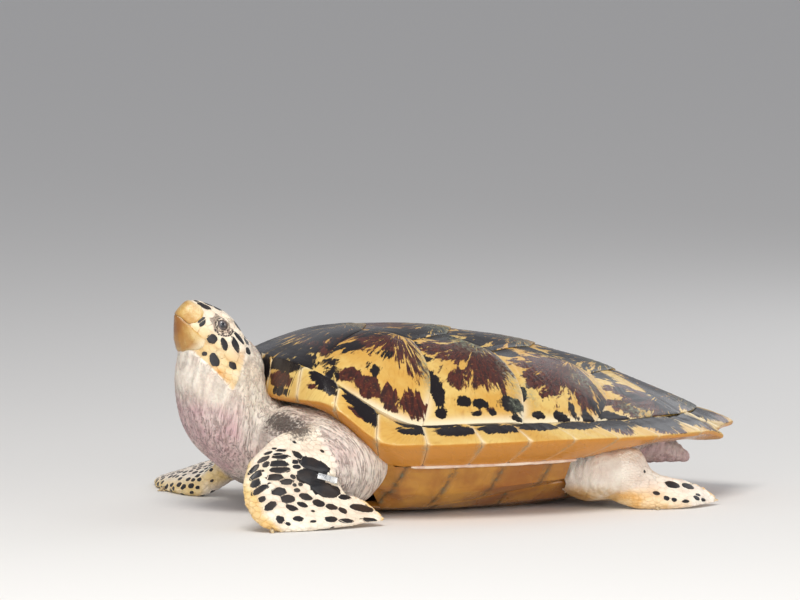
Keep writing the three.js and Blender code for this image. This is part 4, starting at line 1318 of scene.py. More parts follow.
places = corners_of(skin_mesh)
facing = normals_of(skin_mesh)
back, out, up = in_head(places)
head_orange = sum(strength * spot_of(back, up, centre, size) for strength, centre, size in ORANGE_SPOTS)
head_yellow = 0.22 + 0.6 * smoothstep(34 * MM, 4 * MM, up)
front_left, front_right = shares["front_flipper_left"], shares["front_flipper_right"]
near_side = smoothstep(-0.09, -0.13, places[:, 1])
high = places[:, 2]
leading = smoothstep(0.15, 0.75, -facing @ NEAR_EDGE_FACING) * smoothstep(0.13, 0.1, high)
behind_edge = places[:, 0] - np.interp(high, EDGE_HEIGHTS, EDGE_PLACES)
edge_near = smoothstep(34 * MM, 10 * MM, behind_edge) * smoothstep(0.12, 0.08, high)
leading = np.clip(leading + edge_near * smoothstep(0.09, 0.04, high) + 0.35 * edge_near, 0, 1)
leading_right = smoothstep(0.1, 0.7, -facing @ FAR_EDGE_FACING)
hind_front = smoothstep(0.3, -0.5, facing[:, 0]) * smoothstep(0.05, 0.02, high)
nape = groove(np.hypot(places[:, 0] - NAPE_X, high - NAPE_Z), 48 * MM) * (1 - cover)
yellow = 0.2 * nape + cover * head_yellow + front_left * (0.16 + leading)
yellow = yellow + front_right * leading_right + hind * hind_front
orange = cover * head_orange + 0.4 * front_left * leading * smoothstep(0.09, 0.03, high)
orange += 0.7 * hind * hind_front
# The pink is the skin's own on the tail; on the throat and low on the neck it is strengthened as painted
# shade
throat = smoothstep(-0.38, -0.43, places[:, 0]) * smoothstep(0.235, 0.17, high) * shares["neck"]
taut = np.clip(1.6 * spot_of(back, up, (100, -56), (46, 26)), 0, 1) * (1 - cover)
pink = 1.1 * throat * (1 - taut) + rear + 0.4 * slack * (1 - front_left) * smoothstep(0.2, 0.1, high)
spread = eye_spread(back, up)
lids = (spread < LIDS_END) * (spread > 1.0) * (np.abs(out) > HEAD_SIDE) * (up < 50 * MM)
# A painted shadow at the top of the near shoulder
smudge = groove(np.hypot((places[:, 0] - SMUDGE_X) / 1.5, high - SMUDGE_Z), 22 * MM) * near_side
# The crease mark is painted shade in the creases and grooves, and it darkens the lids as well
hide_marks = {"yellow": np.clip(yellow, 0, 1), "orange": np.clip(orange, 0, 1),
              "pink": np.clip(pink, 0, 1), "crease": np.maximum(0.42 * crease, 0.9 * lids),
              "cover": np.clip(cover, 0, 1), "smudge": smudge}
print("corners with orange on them:", int((hide_marks["orange"] > 0.3).sum()))

# %% [markdown]
# ## Wrinkles
# Slack skin is crossed by fine wrinkles, sunk in as relief and darkened with painted shade. They
# are the lines along which a stretched noise passes through its middle value, so they run on, fork
# and close as wrinkles do. The noise is read at places measured along and across the folds:
# straight down on the neck, and round the root of the arm on the shoulder.

# %% Wrinkles
ARM_ROOT = (-0.345, 0.078)       # where the wrinkles of the shoulder turn round
WRINKLE = 15 * MM


def neck_wrinkles(places):
    along = places @ NECK_LIE
    return (places - 0.92 * np.outer(along, NECK_LIE)) / WRINKLE


def arm_wrinkles(places):
    out, high = places[:, 0] - ARM_ROOT[0], places[:, 2] - ARM_ROOT[1]
    radius = np.hypot(out, high)
    turn = np.arctan2(high, out)
    return np.column_stack([radius / (0.75 * WRINKLE), 1.1 * turn, places[:, 1] / (5 * WRINKLE)])


on_arm = smoothstep(0.16, 0.115, np.hypot(places[:, 0] - ARM_ROOT[0] - 0.02, high - ARM_ROOT[1])) * near_side
loose = np.clip(slack + shares["trunk"] + 0.5 * rear + 0.12 * thigh, 0, 1) * (1 - np.clip(cover, 0, 1))
loose = loose * (1 - 0.9 * taut) * (1 - 0.45 * nape)
wrinkle_marks = {"down": neck_wrinkles(places), "round": arm_wrinkles(places),
                 "loose": loose * (1 - on_arm), "arm": loose * on_arm}
print("wrinkled corners:", int((loose > 0.5).sum()))


def build_wrinkles(tree, entry):
    def lines(scale, width):
        wavy = speckle(tree, entry["Place"], scale, 3.0, 0.55, 0.3)
        gone = speckle(tree, entry["Place"], 1.7 * scale)
        line = ramp(tree, sums(tree, "ABSOLUTE", sums(tree, "SUBTRACT", wavy, 0.5)), 0.0, width, 1.0, 0.0)
        return times(tree, line, ramp(tree, gone, 0.4, 0.58, 0.15, 1.0))
    fine = times(tree, lines(2.1, 0.07), 0.9)
    return {"Line": times(tree, sums(tree, "MAXIMUM", lines(1.0, 0.05), fine), entry["Amount"])}


WRINKLES = group("Fine wrinkles", [("Place", "Vector", None), ("Amount", "Float", 1.0)], [("Line", "Float")],
                 build_wrinkles)

# %% [markdown]
# Hide and scale share one network of colours: a pale ground that turns yellow, orange or
# pink where the marks say so (on the throat the pink is partly painted shade), painted shade in the
# creases, random grime with a painted shadow at the shoulder, and the dark spots on top.

# %% Colours of hide and scale
HIDE_LIGHT, HIDE_DEEP = (0.95, 0.87, 0.75, 1), (0.84, 0.71, 0.60, 1)
# The pink below is the skin's own on the tail and partly painted shade on the throat
WARM, HOT, FLUSH = (0.80, 0.58, 0.24, 1), (0.66, 0.30, 0.06, 1), (0.74, 0.49, 0.50, 1)
# The brown of painted crease shade, and the tone of random grime and of a painted shadow at the shoulder
DIRT, GRIME = (0.21, 0.14, 0.12, 1), (0.085, 0.062, 0.052, 1)
SPOT_BLACK, SPOT_BROWN = (0.010, 0.010, 0.013, 1), (0.026, 0.018, 0.015, 1)
BODY_MARKS = ("yellow", "orange", "pink", "crease", "spot", "smudge")


def build_body_colour(tree, entry):
    place = here(tree)
    slow = speckle(tree, place, 26.0, 5.0, 0.6)
    quick = speckle(tree, place, 210.0, 4.0)
    uneven = sums(tree, "SUBTRACT", quick, 0.5)
    base = mixed(tree, ramp(tree, slow, 0.35, 0.68), HIDE_LIGHT, HIDE_DEEP)
    # The crease mark mixes in painted shade, and the pink mark is partly painted shade on the throat and low
    # on the neck
    for title, colour, wave, limits in (("Yellow", WARM, slow, (0.25, 0.6, 0.6, 1.0)),
                                        ("Orange", HOT, slow, (0.35, 0.6, 0.4, 1.0)),
                                        ("Pink", FLUSH, slow, (0.3, 0.7, 0.5, 1.0)),
                                        ("Crease", DIRT, quick, (0.3, 0.6, 0.55, 0.9))):
        base = mixed(tree, times(tree, entry[title], ramp(tree, wave, *limits)), base, colour)
    # Noise adds real grime at random, and the shoulder mark adds a painted shadow; both darken the ground
    grime = plus(tree, entry["Smudge"], times(tree, uneven, 1.5))
    base = mixed(tree, ramp(tree, grime, 0.3, 0.9, 0.0, 0.92), base, GRIME)
    dark = ramp(tree, plus(tree, entry["Spot"], times(tree, uneven, 0.5)), 0.42, 0.56)
    tone = mixed(tree, ramp(tree, slow, 0.4, 0.62), SPOT_BLACK, SPOT_BROWN)
    return {"Colour": mixed(tree, dark, base, tone)}


BODY_COLOUR = group("Body colour", [(title.capitalize(), "Float", 0) for title in BODY_MARKS],
                    [("Colour", "Color")], build_body_colour)


def body_material(name, rough, grain_depth, wrinkled, **constants):
    made, tree, surface = new_material(name, **constants)
    place = here(tree)
    feeds = {title.capitalize(): mark(tree, title) for title in BODY_MARKS}
    cells = node(tree, "TexVoronoi", {"Vector": place, "Scale": 420.0, "Randomness": 0.9},
                 feature="DISTANCE_TO_EDGE").outputs["Distance"]
    grain = speckle(tree, place, 700.0, 3.0)
    height = plus(tree, ramp(tree, cells, 0.0, 0.25), times(tree, grain, 0.4))
    if wrinkled:
        found = [use(tree, WRINKLES, Place=mark(tree, way, "Vector"), Amount=mark(tree, amount))["Line"]
                 for way, amount in (("down", "loose"), ("round", "arm"))]
        lines = sums(tree, "MAXIMUM", *found)
        # The wrinkle lines are darkened with painted shade through the crease mark
        feeds["Crease"] = sums(tree, "MAXIMUM", feeds["Crease"], times(tree, lines, 0.9))
        height = sums(tree, "SUBTRACT", height, times(tree, lines, 3.6))
    colour = use(tree, BODY_COLOUR, **feeds)["Colour"]
    dress(tree, surface, colour, plus(tree, rough, times(tree, grain, 0.2)), height, grain_depth)
    return made


HIDE = body_material("hide", 0.42, 0.5 * MM, True, IOR=1.42, Subsurface_Weight=0.06,
                     Subsurface_Scale=4 * MM)
SCALE_HORN = body_material("scale_horn", 0.3, 0.12 * MM, False, IOR=1.42, Coat_Weight=0.15,
                           Coat_Roughness=0.2)
print("materials of the body:", HIDE.name, "and", SCALE_HORN.name)


def keep_skin(spot):
    """Stores the marks on the skin and makes it a finished piece."""
    for title, values in (*hide_marks.items(), *wrinkle_marks.items()):
        store(skin_mesh, title, values)
    store(skin_mesh, "spot", spot)
    for face in skin_mesh.polygons:
        face.use_smooth = True
    skin_mesh.name = "skin"
    skin_mesh.materials.append(HIDE)
    skin = in_scene("skin", skin_mesh)
    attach(skin, "root")
    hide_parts(*FLESH)
    return skin

# %% [markdown]
# ## Eyes, beak, claws and tag
# The eyeball is a ball with a slightly bulging front. The iris and the pupil end at angles
# measured from the way the eye looks. The horn of the beak is remeshed finely and relaxed, so
# that its facets go and its cutting edge stays.

# %% Eyes
EYE_LOOK = {LEFT: Vector((-0.12, -1.0, 0.02)), RIGHT: Vector((-0.12, 1.0, 0.02))}
IRIS_ANGLE, PUPIL_ANGLE, CORNEA_ANGLE = math.radians(40), math.radians(20), math.radians(46)
CORNEA_BULGE = 0.7 * MM
PUPIL_BLACK = (0.006, 0.007, 0.013, 1)


def eye_material():
    made, tree, surface = new_material("wet_eye", Coat_Weight=1.0, Coat_Roughness=0.02, Roughness=0.18,
                                       IOR=1.45)
    rays = speckle(tree, here(tree), 520.0, 4.0)
    wavy = plus(tree, mark(tree, "angle"), times(tree, sums(tree, "SUBTRACT", rays, 0.5), 0.1))
    white = mixed(tree, rays, (0.05, 0.04, 0.04, 1), (0.12, 0.09, 0.08, 1))
    iris = mixed(tree, ramp(tree, rays, 0.35, 0.65), (0.07, 0.062, 0.068, 1), (0.17, 0.14, 0.135, 1))
    colour = mixed(tree, ramp(tree, wavy, IRIS_ANGLE - 0.05, IRIS_ANGLE + 0.05), iris, white)
    colour = mixed(tree, ramp(tree, wavy, PUPIL_ANGLE - 0.03, PUPIL_ANGLE + 0.03), PUPIL_BLACK, colour)
    tree.links.new(colour, surface["Base Color"])
    return made


WET_EYE = eye_material()


def eyeball(node_name, side):
    low, high = corners_of_box(node_name)
    centre, radius = (low + high) / 2, float(min(high - low)) / 2
    work = bmesh.new()
    look = EYE_LOOK[side].normalized()
    turn = look.to_track_quat("Z", "Y").to_matrix().to_4x4()
    bmesh.ops.create_uvsphere(work, u_segments=56, v_segments=40, radius=radius)
    angles = [v.co.angle(Vector((0, 0, 1))) for v in work.verts]
    for v, angle in zip(work.verts, angles):
        v.co *= 1 + CORNEA_BULGE / radius * float(smoothstep(CORNEA_ANGLE, CORNEA_ANGLE * 0.4, angle))
    bmesh.ops.transform(work, matrix=Matrix.Translation(centre) @ turn, verts=work.verts)
    piece = finished(work, node_name.replace("eye", "eyeball"), WET_EYE, [node_name])
    store(piece.data, "angle", angles)
    return piece


for node_name, side in (("eye_left", LEFT), ("eye_right", RIGHT)):
    print(eyeball(node_name, side).name, "finished")

# %% [markdown]
# The horn of the beak is streaked lengthways, browner at its tip and paler towards the skin.

# %% Beak
def beak_material():
    made, tree, surface = new_material("beak_horn", Coat_Weight=0.3, Coat_Roughness=0.2, IOR=1.5)
    place = here(tree)
    wide = speckle(tree, place, 34.0, 5.0, 0.65)
    fine = speckle(tree, place, 330.0, 4.0)
    striped = speckle(tree, stretched(tree, place, (60.0, 700.0, 700.0), (0, -HEAD_PITCH, 0)), 1.0, 3.0)
    colour = mixed(tree, ramp(tree, wide, 0.35, 0.62), (0.64, 0.45, 0.16, 1), (0.52, 0.27, 0.055, 1))
    stain = times(tree, mark(tree, "stain"), ramp(tree, wide, 0.3, 0.55, 0.45, 1.0))
    for share, tone in ((stain, (0.30, 0.115, 0.022, 1)),
                        (mark(tree, "pale"), (0.80, 0.70, 0.48, 1)),
                        (ramp(tree, striped, 0.5, 0.8, 0.0, 0.35), (0.36, 0.18, 0.05, 1)),
                        (ramp(tree, fine, 0.62, 0.75, 0.0, 0.5), (0.22, 0.10, 0.04, 1))):
        colour = mixed(tree, share, colour, tone)
    dress(tree, surface, colour, ramp(tree, wide, 0.3, 0.7, 0.26, 0.42), plus(tree, striped, fine), 0.25 * MM)
    return made


BEAK_HORN = beak_material()
BEAK_VOXEL = 1.25 * MM
BEAK_CALMING = 26


def beak_piece(node_name):
    mesh = mesh_of(merged_copy(node_name), node_name + "_shape")
    mesh = modified(mesh, "REMESH", mode="VOXEL", voxel_size=BEAK_VOXEL)
    put_corners(mesh, calmed(corners_of(mesh), edges_of(mesh), BEAK_CALMING, 0.5))
    piece = finished(work_on(mesh), "horn_" + node_name, BEAK_HORN, [node_name], 75)
    back, _, up = in_head(corners_of(piece.data))
    lower = node_name == "lower_beak"
    tip = smoothstep(26 * MM, 4 * MM, back) if lower else smoothstep(6 * MM, -2 * MM, up - 6 * MM)
    foot = smoothstep(2 * MM, -14 * MM, up) if lower else np.zeros(len(up))
    store(piece.data, "stain", np.clip(0.9 * tip * (1 if lower else 0.5) + 0.5 * foot, 0, 1))
    rim = smoothstep(40 * MM, 56 * MM, back) if lower else smoothstep(30 * MM, 44 * MM, up)
    store(piece.data, "pale", 0.7 * rim)
    return piece


for node_name in UNDER_SKIN:
    print(beak_piece(node_name).name, "finished")

# %% [markdown]
# The claws are small, so a little smoothing does for them. The tag is a strip of folded
# steel with rounded edges and a brushed face.

# %% Claws and tag
def claw_material():
    made, tree, surface = new_material("claw_horn", Coat_Weight=0.3, Coat_Roughness=0.25)
    wide = speckle(tree, here(tree), 180.0, 4.0)
    colour = mixed(tree, ramp(tree, wide, 0.35, 0.65), (0.58, 0.44, 0.24, 1), (0.20, 0.12, 0.06, 1))
    dress(tree, surface, colour, ramp(tree, wide, 0.3, 0.7, 0.25, 0.45), wide, 0.2 * MM)
    return made


def steel_material():
    made, tree, surface = new_material("tag_steel", Metallic=1.0)
    brushed = speckle(tree, stretched(tree, here(tree), (60.0, 900.0, 1500.0)), 1.0, 3.0)
    dull = speckle(tree, here(tree), 120.0, 4.0)
    colour = mixed(tree, ramp(tree, dull, 0.4, 0.65), (0.92, 0.92, 0.90, 1), (0.66, 0.64, 0.60, 1))
    dress(tree, surface, colour, ramp(tree, dull, 0.3, 0.7, 0.24, 0.5), brushed, 0.12 * MM)
    return made


CLAW_HORN, STEEL = claw_material(), steel_material()
TAG_ROUNDING = 0.4 * MM
FLOOR_GAP = 0.1 * MM


def claw_piece(node_name):
    work = merged_copy(node_name)
    bmesh.ops.subdivide_edges(work, edges=work.edges[:], cuts=2, use_grid_fill=True, smooth=0.6)
    bmesh.ops.smooth_vert(work, verts=work.verts, factor=0.4, **EVERY_WAY)
    for v in work.verts:
        v.co.z = max(v.co.z, FLOOR_GAP)
    return finished(work, "horn_" + node_name, CLAW_HORN, [node_name], 70)


def tag_piece():
    work = merged_copy("flipper_tag")
    bmesh.ops.dissolve_limit(work, angle_limit=math.radians(2), verts=work.verts, edges=work.edges)
    rounded(work, 30, TAG_ROUNDING)
    split_faces(work)
    return finished(work, "steel_tag", STEEL, ["flipper_tag"], 35)


for node_name in ("claw_front_left", "claw_front_right", "claw_hind_left", "claw_hind_right"):
    claw_piece(node_name)
tag_piece()
print("four claws and the tag finished")

# %% [markdown]
# ## Scales
# Each scale is a thin horny plate. We plant seeds on the skin: the large dark scales at their
# known places, and pale ones by throwing darts, where a dart that lands too close to another
# seed is thrown away. A scale starts as a flat disc on its seed. The line half-way to every
# neighbour trims it, so that neighbours fit like paving, and what is left is raised in rings
# to a low dome and dropped on the skin. Long scales lie along the flow of the part.

# %% The dark scales
SEAM = 0.5 * MM
DARK_MARGIN = 1.4 * MM
OVAL_LONG, OVAL_WIDE = 1.2, 1.05     # the tables give the stain; the scale is a little larger
PALE_CORE, DARK_CORE = -1.0, 0.93
GREAT_LONG, GREAT_CORE = 22, 1.05    # the greatest scales are dark nearly to their edge
PLAIN_CORE = 0.78                    # how far out the stain of a scale thrown as a dart goes
# Each row: behind, out, above (in the head's own frame), half length, half width (mm), tilt, darkness
HEAD_SCALES = [
    (20, 15, 47, 13, 5.2, -12, 1), (28.4, 29, 24.6, 7.2, 2.0, 79, .8), (33, 31.5, 21.7, 7, 2.6, 88, 1),
    (60.4, 42.3, 11.3, 8, 7.2, 17, 1), (81, 47.5, 18.3, 10.5, 4.6, -34, 1),
    (96.5, 48, 30.8, 15, 4.7, -27, 1), (95.3, 40.8, 44.8, 14, 3.5, -14, 1),
    (123, 42, 38.9, 6, 5, -29, .85), (68.3, 39.9, -15.6, 3.6, 3, 44, .9),
    (86.9, 46.1, -13.1, 11.5, 7, -30, 1), (116, 52.5, -0.7, 7.5, 5, -19, 1), (27, 6, 54, 9, 5, 0, .9),
    (43, 9, 60, 8, 7, 0, .9), (61, 24, 60, 15, 9.5, 0, 0), (86, 21, 61, 11, 8, 0, .85),
    (109, 12, 57, 9, 8, 0, .8), (112, 30, 49, 8, 7, 0, .7), (8, 5, 45, 4, 3, 20, .9),
    (45, 36, 12, 9, 8, 0, 0), (104, 50, 12, 10, 8, -10, 0)]
MIDDLE_SCALES = [(62, 0, 66, 10, 9, 0, .9), (86, 0, 65, 12, 9, 0, .9)]
LID_RINGS = [(1.36, 18), (1.7, 22), (2.06, 28)]
# Each row: x, z, half length, half width, tilt, darkness; all on the outer face of the near flipper
FLIPPER_SCALES = [
    (-398, 132, 9, 2, 0, 1), (-405, 126, 7, 1.5, 0, 1), (-368, 123, 9.5, 4.8, -35, 1),
    (-399, 122, 16, 3.2, 0, 1), (-422, 128, 6.5, 2.2, 20, 1), (-433, 119, 10, 3.2, 25, 1),
    (-407, 111, 17.5, 4.8, 0, 1), (-430, 111, 5.5, 3.2, 30, 1), (-453, 103, 10.5, 3.8, 35, 1),
    (-405, 101, 18, 4.5, 0, 1), (-449, 95, 13.5, 4.3, 30, 1), (-418, 90, 15, 4.5, 0, 1),
    (-453, 82, 9, 4.8, 30, 1), (-395, 81, 13, 3.8, 0, 1), (-444, 72, 19, 4.1, 25, 1),
    (-375, 112, 5.5, 2.7, 0, .9), (-373, 104, 6.5, 2.7, 0, .9), (-413, 66, 13, 5.9, 0, 1),
    (-377, 66, 5.5, 2.4, 0, .8), (-445, 55, 7, 3.8, 20, .8), (-338, 104, 27, 10.5, -20, 1),
    (-346, 86, 26, 11.5, -4, 1), (-320, 62, 26, 10.5, -8, 1), (-397, 53, 12, 5.9, 0, 1),
    (-361, 54, 11, 4.8, -10, 1), (-338, 42, 9.6, 6.4, 0, 1), (-370, 42, 8, 3.8, -20, 1),
    (-431, 43, 12.5, 5.4, 30, .8), (-392, 38, 9.6, 4.5, -15, 1), (-315, 35, 8.5, 6.4, 0, 1),
    (-297, 29, 5.4, 7.5, 0, 1), (-283, 48, 12, 4.8, 0, .8), (-258, 30, 19, 9.5, -8, 1),
    (-417, 21, 6.5, 7.5, 0, .7), (-384, 21, 8, 4.3, 0, 1), (-353, 31, 2.2, 1.4, 0, 1),
    (-359, 16, 4.3, 1.4, 0, 1), (-326, 18, 9.6, 5.4, 0, 1), (-297, 14, 12, 3.2, 0, 1),
    (-254, 13, 15, 3, 0, 1), (-369, 75, 3.2, 1.8, 0, 1)]
# Each row: x, out, z, half length, half width, tilt, darkness, on both hind flippers
HIND_SCALES = [
    (332, 206, 38, 13, 8, -8, 1), (362, 203, 34, 10.5, 7, -8, 1), (297, 223, 27, 5, 3.4, -30, 1),
    (312, 232, 19, 4, 4, -20, 1), (325, 235, 16, 4, 3, -15, 1), (345, 236, 13, 6, 2.2, 0, 1),
    (369, 227, 17, 5.5, 4.5, 0, 1), (383, 221, 12, 5, 2.2, 10, 1), (375, 218, 21, 4, 2.5, 10, 1)]


print(len(FLIPPER_SCALES), "dark scales on the near flipper")

# %% [markdown]
# A seed knows its place on the skin, the way its scale lies and how large it is. Darts look
# for their neighbours in cubic cells, up to two cells away.

# %% Plant seeds and throw darts
CELL = 16 * MM
SAME_FACE = 0.1                  # two seeds that face ways less alike lie on two faces of a flipper
CELLS_AROUND = [(i, j, k) for i in range(-2, 3) for j in range(-2, 3) for k in range(-2, 3)]


class Seed:
    """A place on the skin with a tangent frame and the half sizes of its scale."""

    def __init__(self, place, facing, lie, long, wide, dark, core):
        self.place, self.facing = Vector(place), Vector(facing).normalized()
        lie = Vector(lie) - Vector(lie).dot(self.facing) * self.facing
        self.lie = lie.normalized() if lie.length > 1e-6 else self.facing.orthogonal().normalized()
        self.across = self.facing.cross(self.lie)
        self.long, self.wide, self.dark, self.core = float(long), float(wide), dark, core

    def reach(self, offset, spare=0.0):
        """Half size of the scale in the direction of an offset."""
        along, across = offset.dot(self.lie), offset.dot(self.across)
        size = math.hypot(along, across)
        if size < 1e-9:
            return self.wide
        return size / math.hypot(along / (self.long + spare), across / (self.wide + spare))

    def steepness(self, offset):
        """The way in which the scale's own measure of distance grows fastest."""
        return offset.dot(self.lie) / self.long ** 2 * self.lie + \
            offset.dot(self.across) / self.wide ** 2 * self.across


skin_tree = BVHTree.FromPolygons([v.co[:] for v in skin_mesh.vertices],
                                 [face.vertices[:] for face in skin_mesh.polygons])
skin_places, skin_facing = corners_of(skin_mesh), normals_of(skin_mesh)
skin_kd = finder(skin_places)


def planted(place, lie, long, wide, dark, core=DARK_CORE, margin=DARK_MARGIN):
    """A seed on the skin nearest to a place; the half sizes are in millimetres."""
    hit = skin_tree.find_nearest(Vector(place))[0]
    facing = skin_facing[skin_kd.find(hit)[1]]
    return Seed(hit, facing, lie, long * MM + margin, wide * MM + margin, dark, core)


def head_seed(row, side):
    behind, out, above, long, wide, tilt, dark = row
    place = from_head(behind * MM, side * out * MM, above * MM)
    slope = math.radians(tilt)
    lie = math.cos(slope) * HEAD_BACK + math.sin(slope) * HEAD_UP
    return planted(place, lie, long, wide, dark, DARK_CORE if dark else PALE_CORE)


def lid_seeds(side):
    """Rings of small scales round the opening of the lids."""
    found = []
    for ring, (quotient, count) in enumerate(LID_RINGS):
        for step in range(count):
            angle = 2 * math.pi * (step + 0.5 * ring) / count
            back = EYE_BACK + quotient * LID_LONG * math.cos(angle)
            up = EYE_UP + quotient * LID_HIGH * math.sin(angle)
            if ring > 0 and math.sin(angle) > 0.5:
                continue
            place = from_head(back, side * 44 * MM, up)
            lie = -math.sin(angle) * HEAD_BACK + math.cos(angle) * HEAD_UP
            dark = 0.9 if ring == 2 or step % 3 == 0 else 0.0
            found.append(planted(place, lie, 2.0, 1.25, dark, 0.95, 0.0))
    return found


def dart_seeds(chosen, fixed, size, lie, darkness, seed, stretch=1.25):
    """Throws darts at the chosen corners; size and darkness are functions of the corner."""
    chance = np.random.default_rng(seed)
    kept = list(fixed)
    grid = {}

    def key(place):
        return tuple(int(math.floor(v / CELL)) for v in place)

    for item in kept:
        grid.setdefault(key(item.place), []).append(item)
    for corner in chance.permutation(chosen):
        place, facing = Vector(skin_places[corner]), Vector(skin_facing[corner])
        half = size(corner) * chance.uniform(0.85, 1.15)
        middle = key(place)
        near = [item for step in CELLS_AROUND
                for item in grid.get(tuple(m + s for m, s in zip(middle, step)), ())]
        near = [(item, place - item.place) for item in near if facing.dot(item.facing) > SAME_FACE]
        if any(offset.length < item.reach(offset) + 0.8 * half for item, offset in near):
            continue
        dark = darkness(corner, chance)
        made = Seed(place, facing, lie(corner), half * stretch, half, dark, PLAIN_CORE if dark else PALE_CORE)
        kept.append(made)
        grid.setdefault(middle, []).append(made)
    return kept


print("the skin's corners are ready for seeds:", len(skin_places))

# %% [markdown]
# The disc of a scale is cut by the line half-way to each neighbour, then raised in rings.
# Under the tag, skin and scales give way a little.

# %% Shapes of the scales
SCALE_RINGS = [(1.0, -1.3), (0.985, 0.25), (0.86, 0.62), (0.56, 0.72)]   # share of the way out, height
INNER_RING = (0.3, 0.76)         # one ring more on a large scale
LARGE = 7 * MM
LEAST_SIDE = 0.9 * MM            # a scale smaller than this square is left out
NARROW = 2.4 * MM                # scales narrower than this stand up less
STAIN_EDGE = 2.4                 # how sharply the stain ends within a scale
UV_SIZE = 0.0015                 # half of a scale's patch in the unwrap
SOLE = 0.2 * MM                  # no scale goes lower than this
TAG_PRESS, TAG_REACH = 4.0 * MM, 5 * MM
tag_tree, _ = tree_of(["flipper_tag"])


def under_tag(places, facing):
    """How far the skin and the scales give way under the tag, as steps inwards."""
    steps = np.zeros(len(places))
    low, high = corners_of_box("flipper_tag")
    for i in np.flatnonzero(np.all((places > low - 6 * MM) & (places < high + 6 * MM), axis=1)):
        gap = tag_tree.find_nearest(Vector(places[i]))[3]
        if facing[i][1] < 0:
            steps[i] = TAG_PRESS * smoothstep(TAG_REACH, 0.5 * TAG_REACH, gap)
    return facing * steps[:, None]


def neighbours_of(seeds):
    """For every seed, the seeds that may cut its scale, nearest first."""
    tree = finder([item.place for item in seeds])
    longest = max(item.long for item in seeds)
    found = []
    for index, item in enumerate(seeds):
        near = []
        for place, other, gap in tree.find_range(item.place, item.long + longest):
            if other == index or item.facing.dot(seeds[other].facing) < SAME_FACE:
                continue
            offset = place - item.place
            spare = gap / (item.reach(offset) + seeds[other].reach(offset))
            if spare < 2.2:
                near.append((spare, other))
        found.append([other for spare, other in sorted(near)[:12]])
    return found


def trimmed_disc(item, others):
    """The flat outline of a scale: a disc cut by the lines between it and its neighbours."""
    flat = bmesh.new()
    bmesh.ops.create_circle(flat, cap_ends=True, radius=1.0, segments=16 if item.long > LARGE else 11)
    spread = 1.06 if item.dark else 1.3
    for v in flat.verts:
        v.co = Vector((v.co.x * item.long * spread, v.co.y * item.wide * spread, 0))
    for other in others:
        offset = other.place - item.place
        own, theirs = item.reach(offset), other.reach(offset)
        steep = item.steepness(offset) + other.steepness(offset)
        middle = Vector((offset.dot(item.lie), offset.dot(item.across), 0)) * own / (own + theirs)
        outward = Vector((steep.dot(item.lie), steep.dot(item.across), 0)).normalized()
        if outward.dot(middle) < SEAM:
            continue
        bmesh.ops.bisect_plane(flat, geom=flat.verts[:] + flat.edges[:] + flat.faces[:], dist=1e-6,
                               plane_co=middle - outward * SEAM / 2, plane_no=outward, clear_outer=True)
    bmesh.ops.remove_doubles(flat, verts=flat.verts, dist=0.25 * MM)
    flat.faces.ensure_lookup_table()
    flat.normal_update()
    return flat


def domed(flat, item):
    """Raises the outline in rings; notes each corner's share of the way out and its height."""
    top = flat.faces[0]
    outline = [v.co.copy() for v in top.verts]
    notes = {}
    rings = SCALE_RINGS + ([INNER_RING] if item.long > LARGE else [])
    for v in top.verts:
        notes[v] = (rings[0][0], rings[0][1])
    for number, (share, height) in enumerate(rings[1:]):
        made = bmesh.ops.extrude_face_region(flat, geom=[top])["geom"]
        if number > 0 and top.is_valid:
            bmesh.ops.delete(flat, geom=[top], context="FACES_ONLY")
        top = next(part for part in made if isinstance(part, bmesh.types.BMFace))
        for v, start in zip(top.verts, outline):
            v.co = start * share
            notes[v] = (share, height)
    for v in bmesh.ops.poke(flat, faces=[top])["verts"]:
        notes[v] = (0.0, rings[-1][1] + 0.04)
    flat.verts.index_update()
    return [notes[v] for v in flat.verts]


print("a large scale has", len(SCALE_RINGS) + 1, "rings")

# %% [markdown]
# All the scales of one part are joined into one piece. Every corner is dropped on the skin
# below it and takes over that place's marks.

# %% A coat of scales
dark_seeds = []


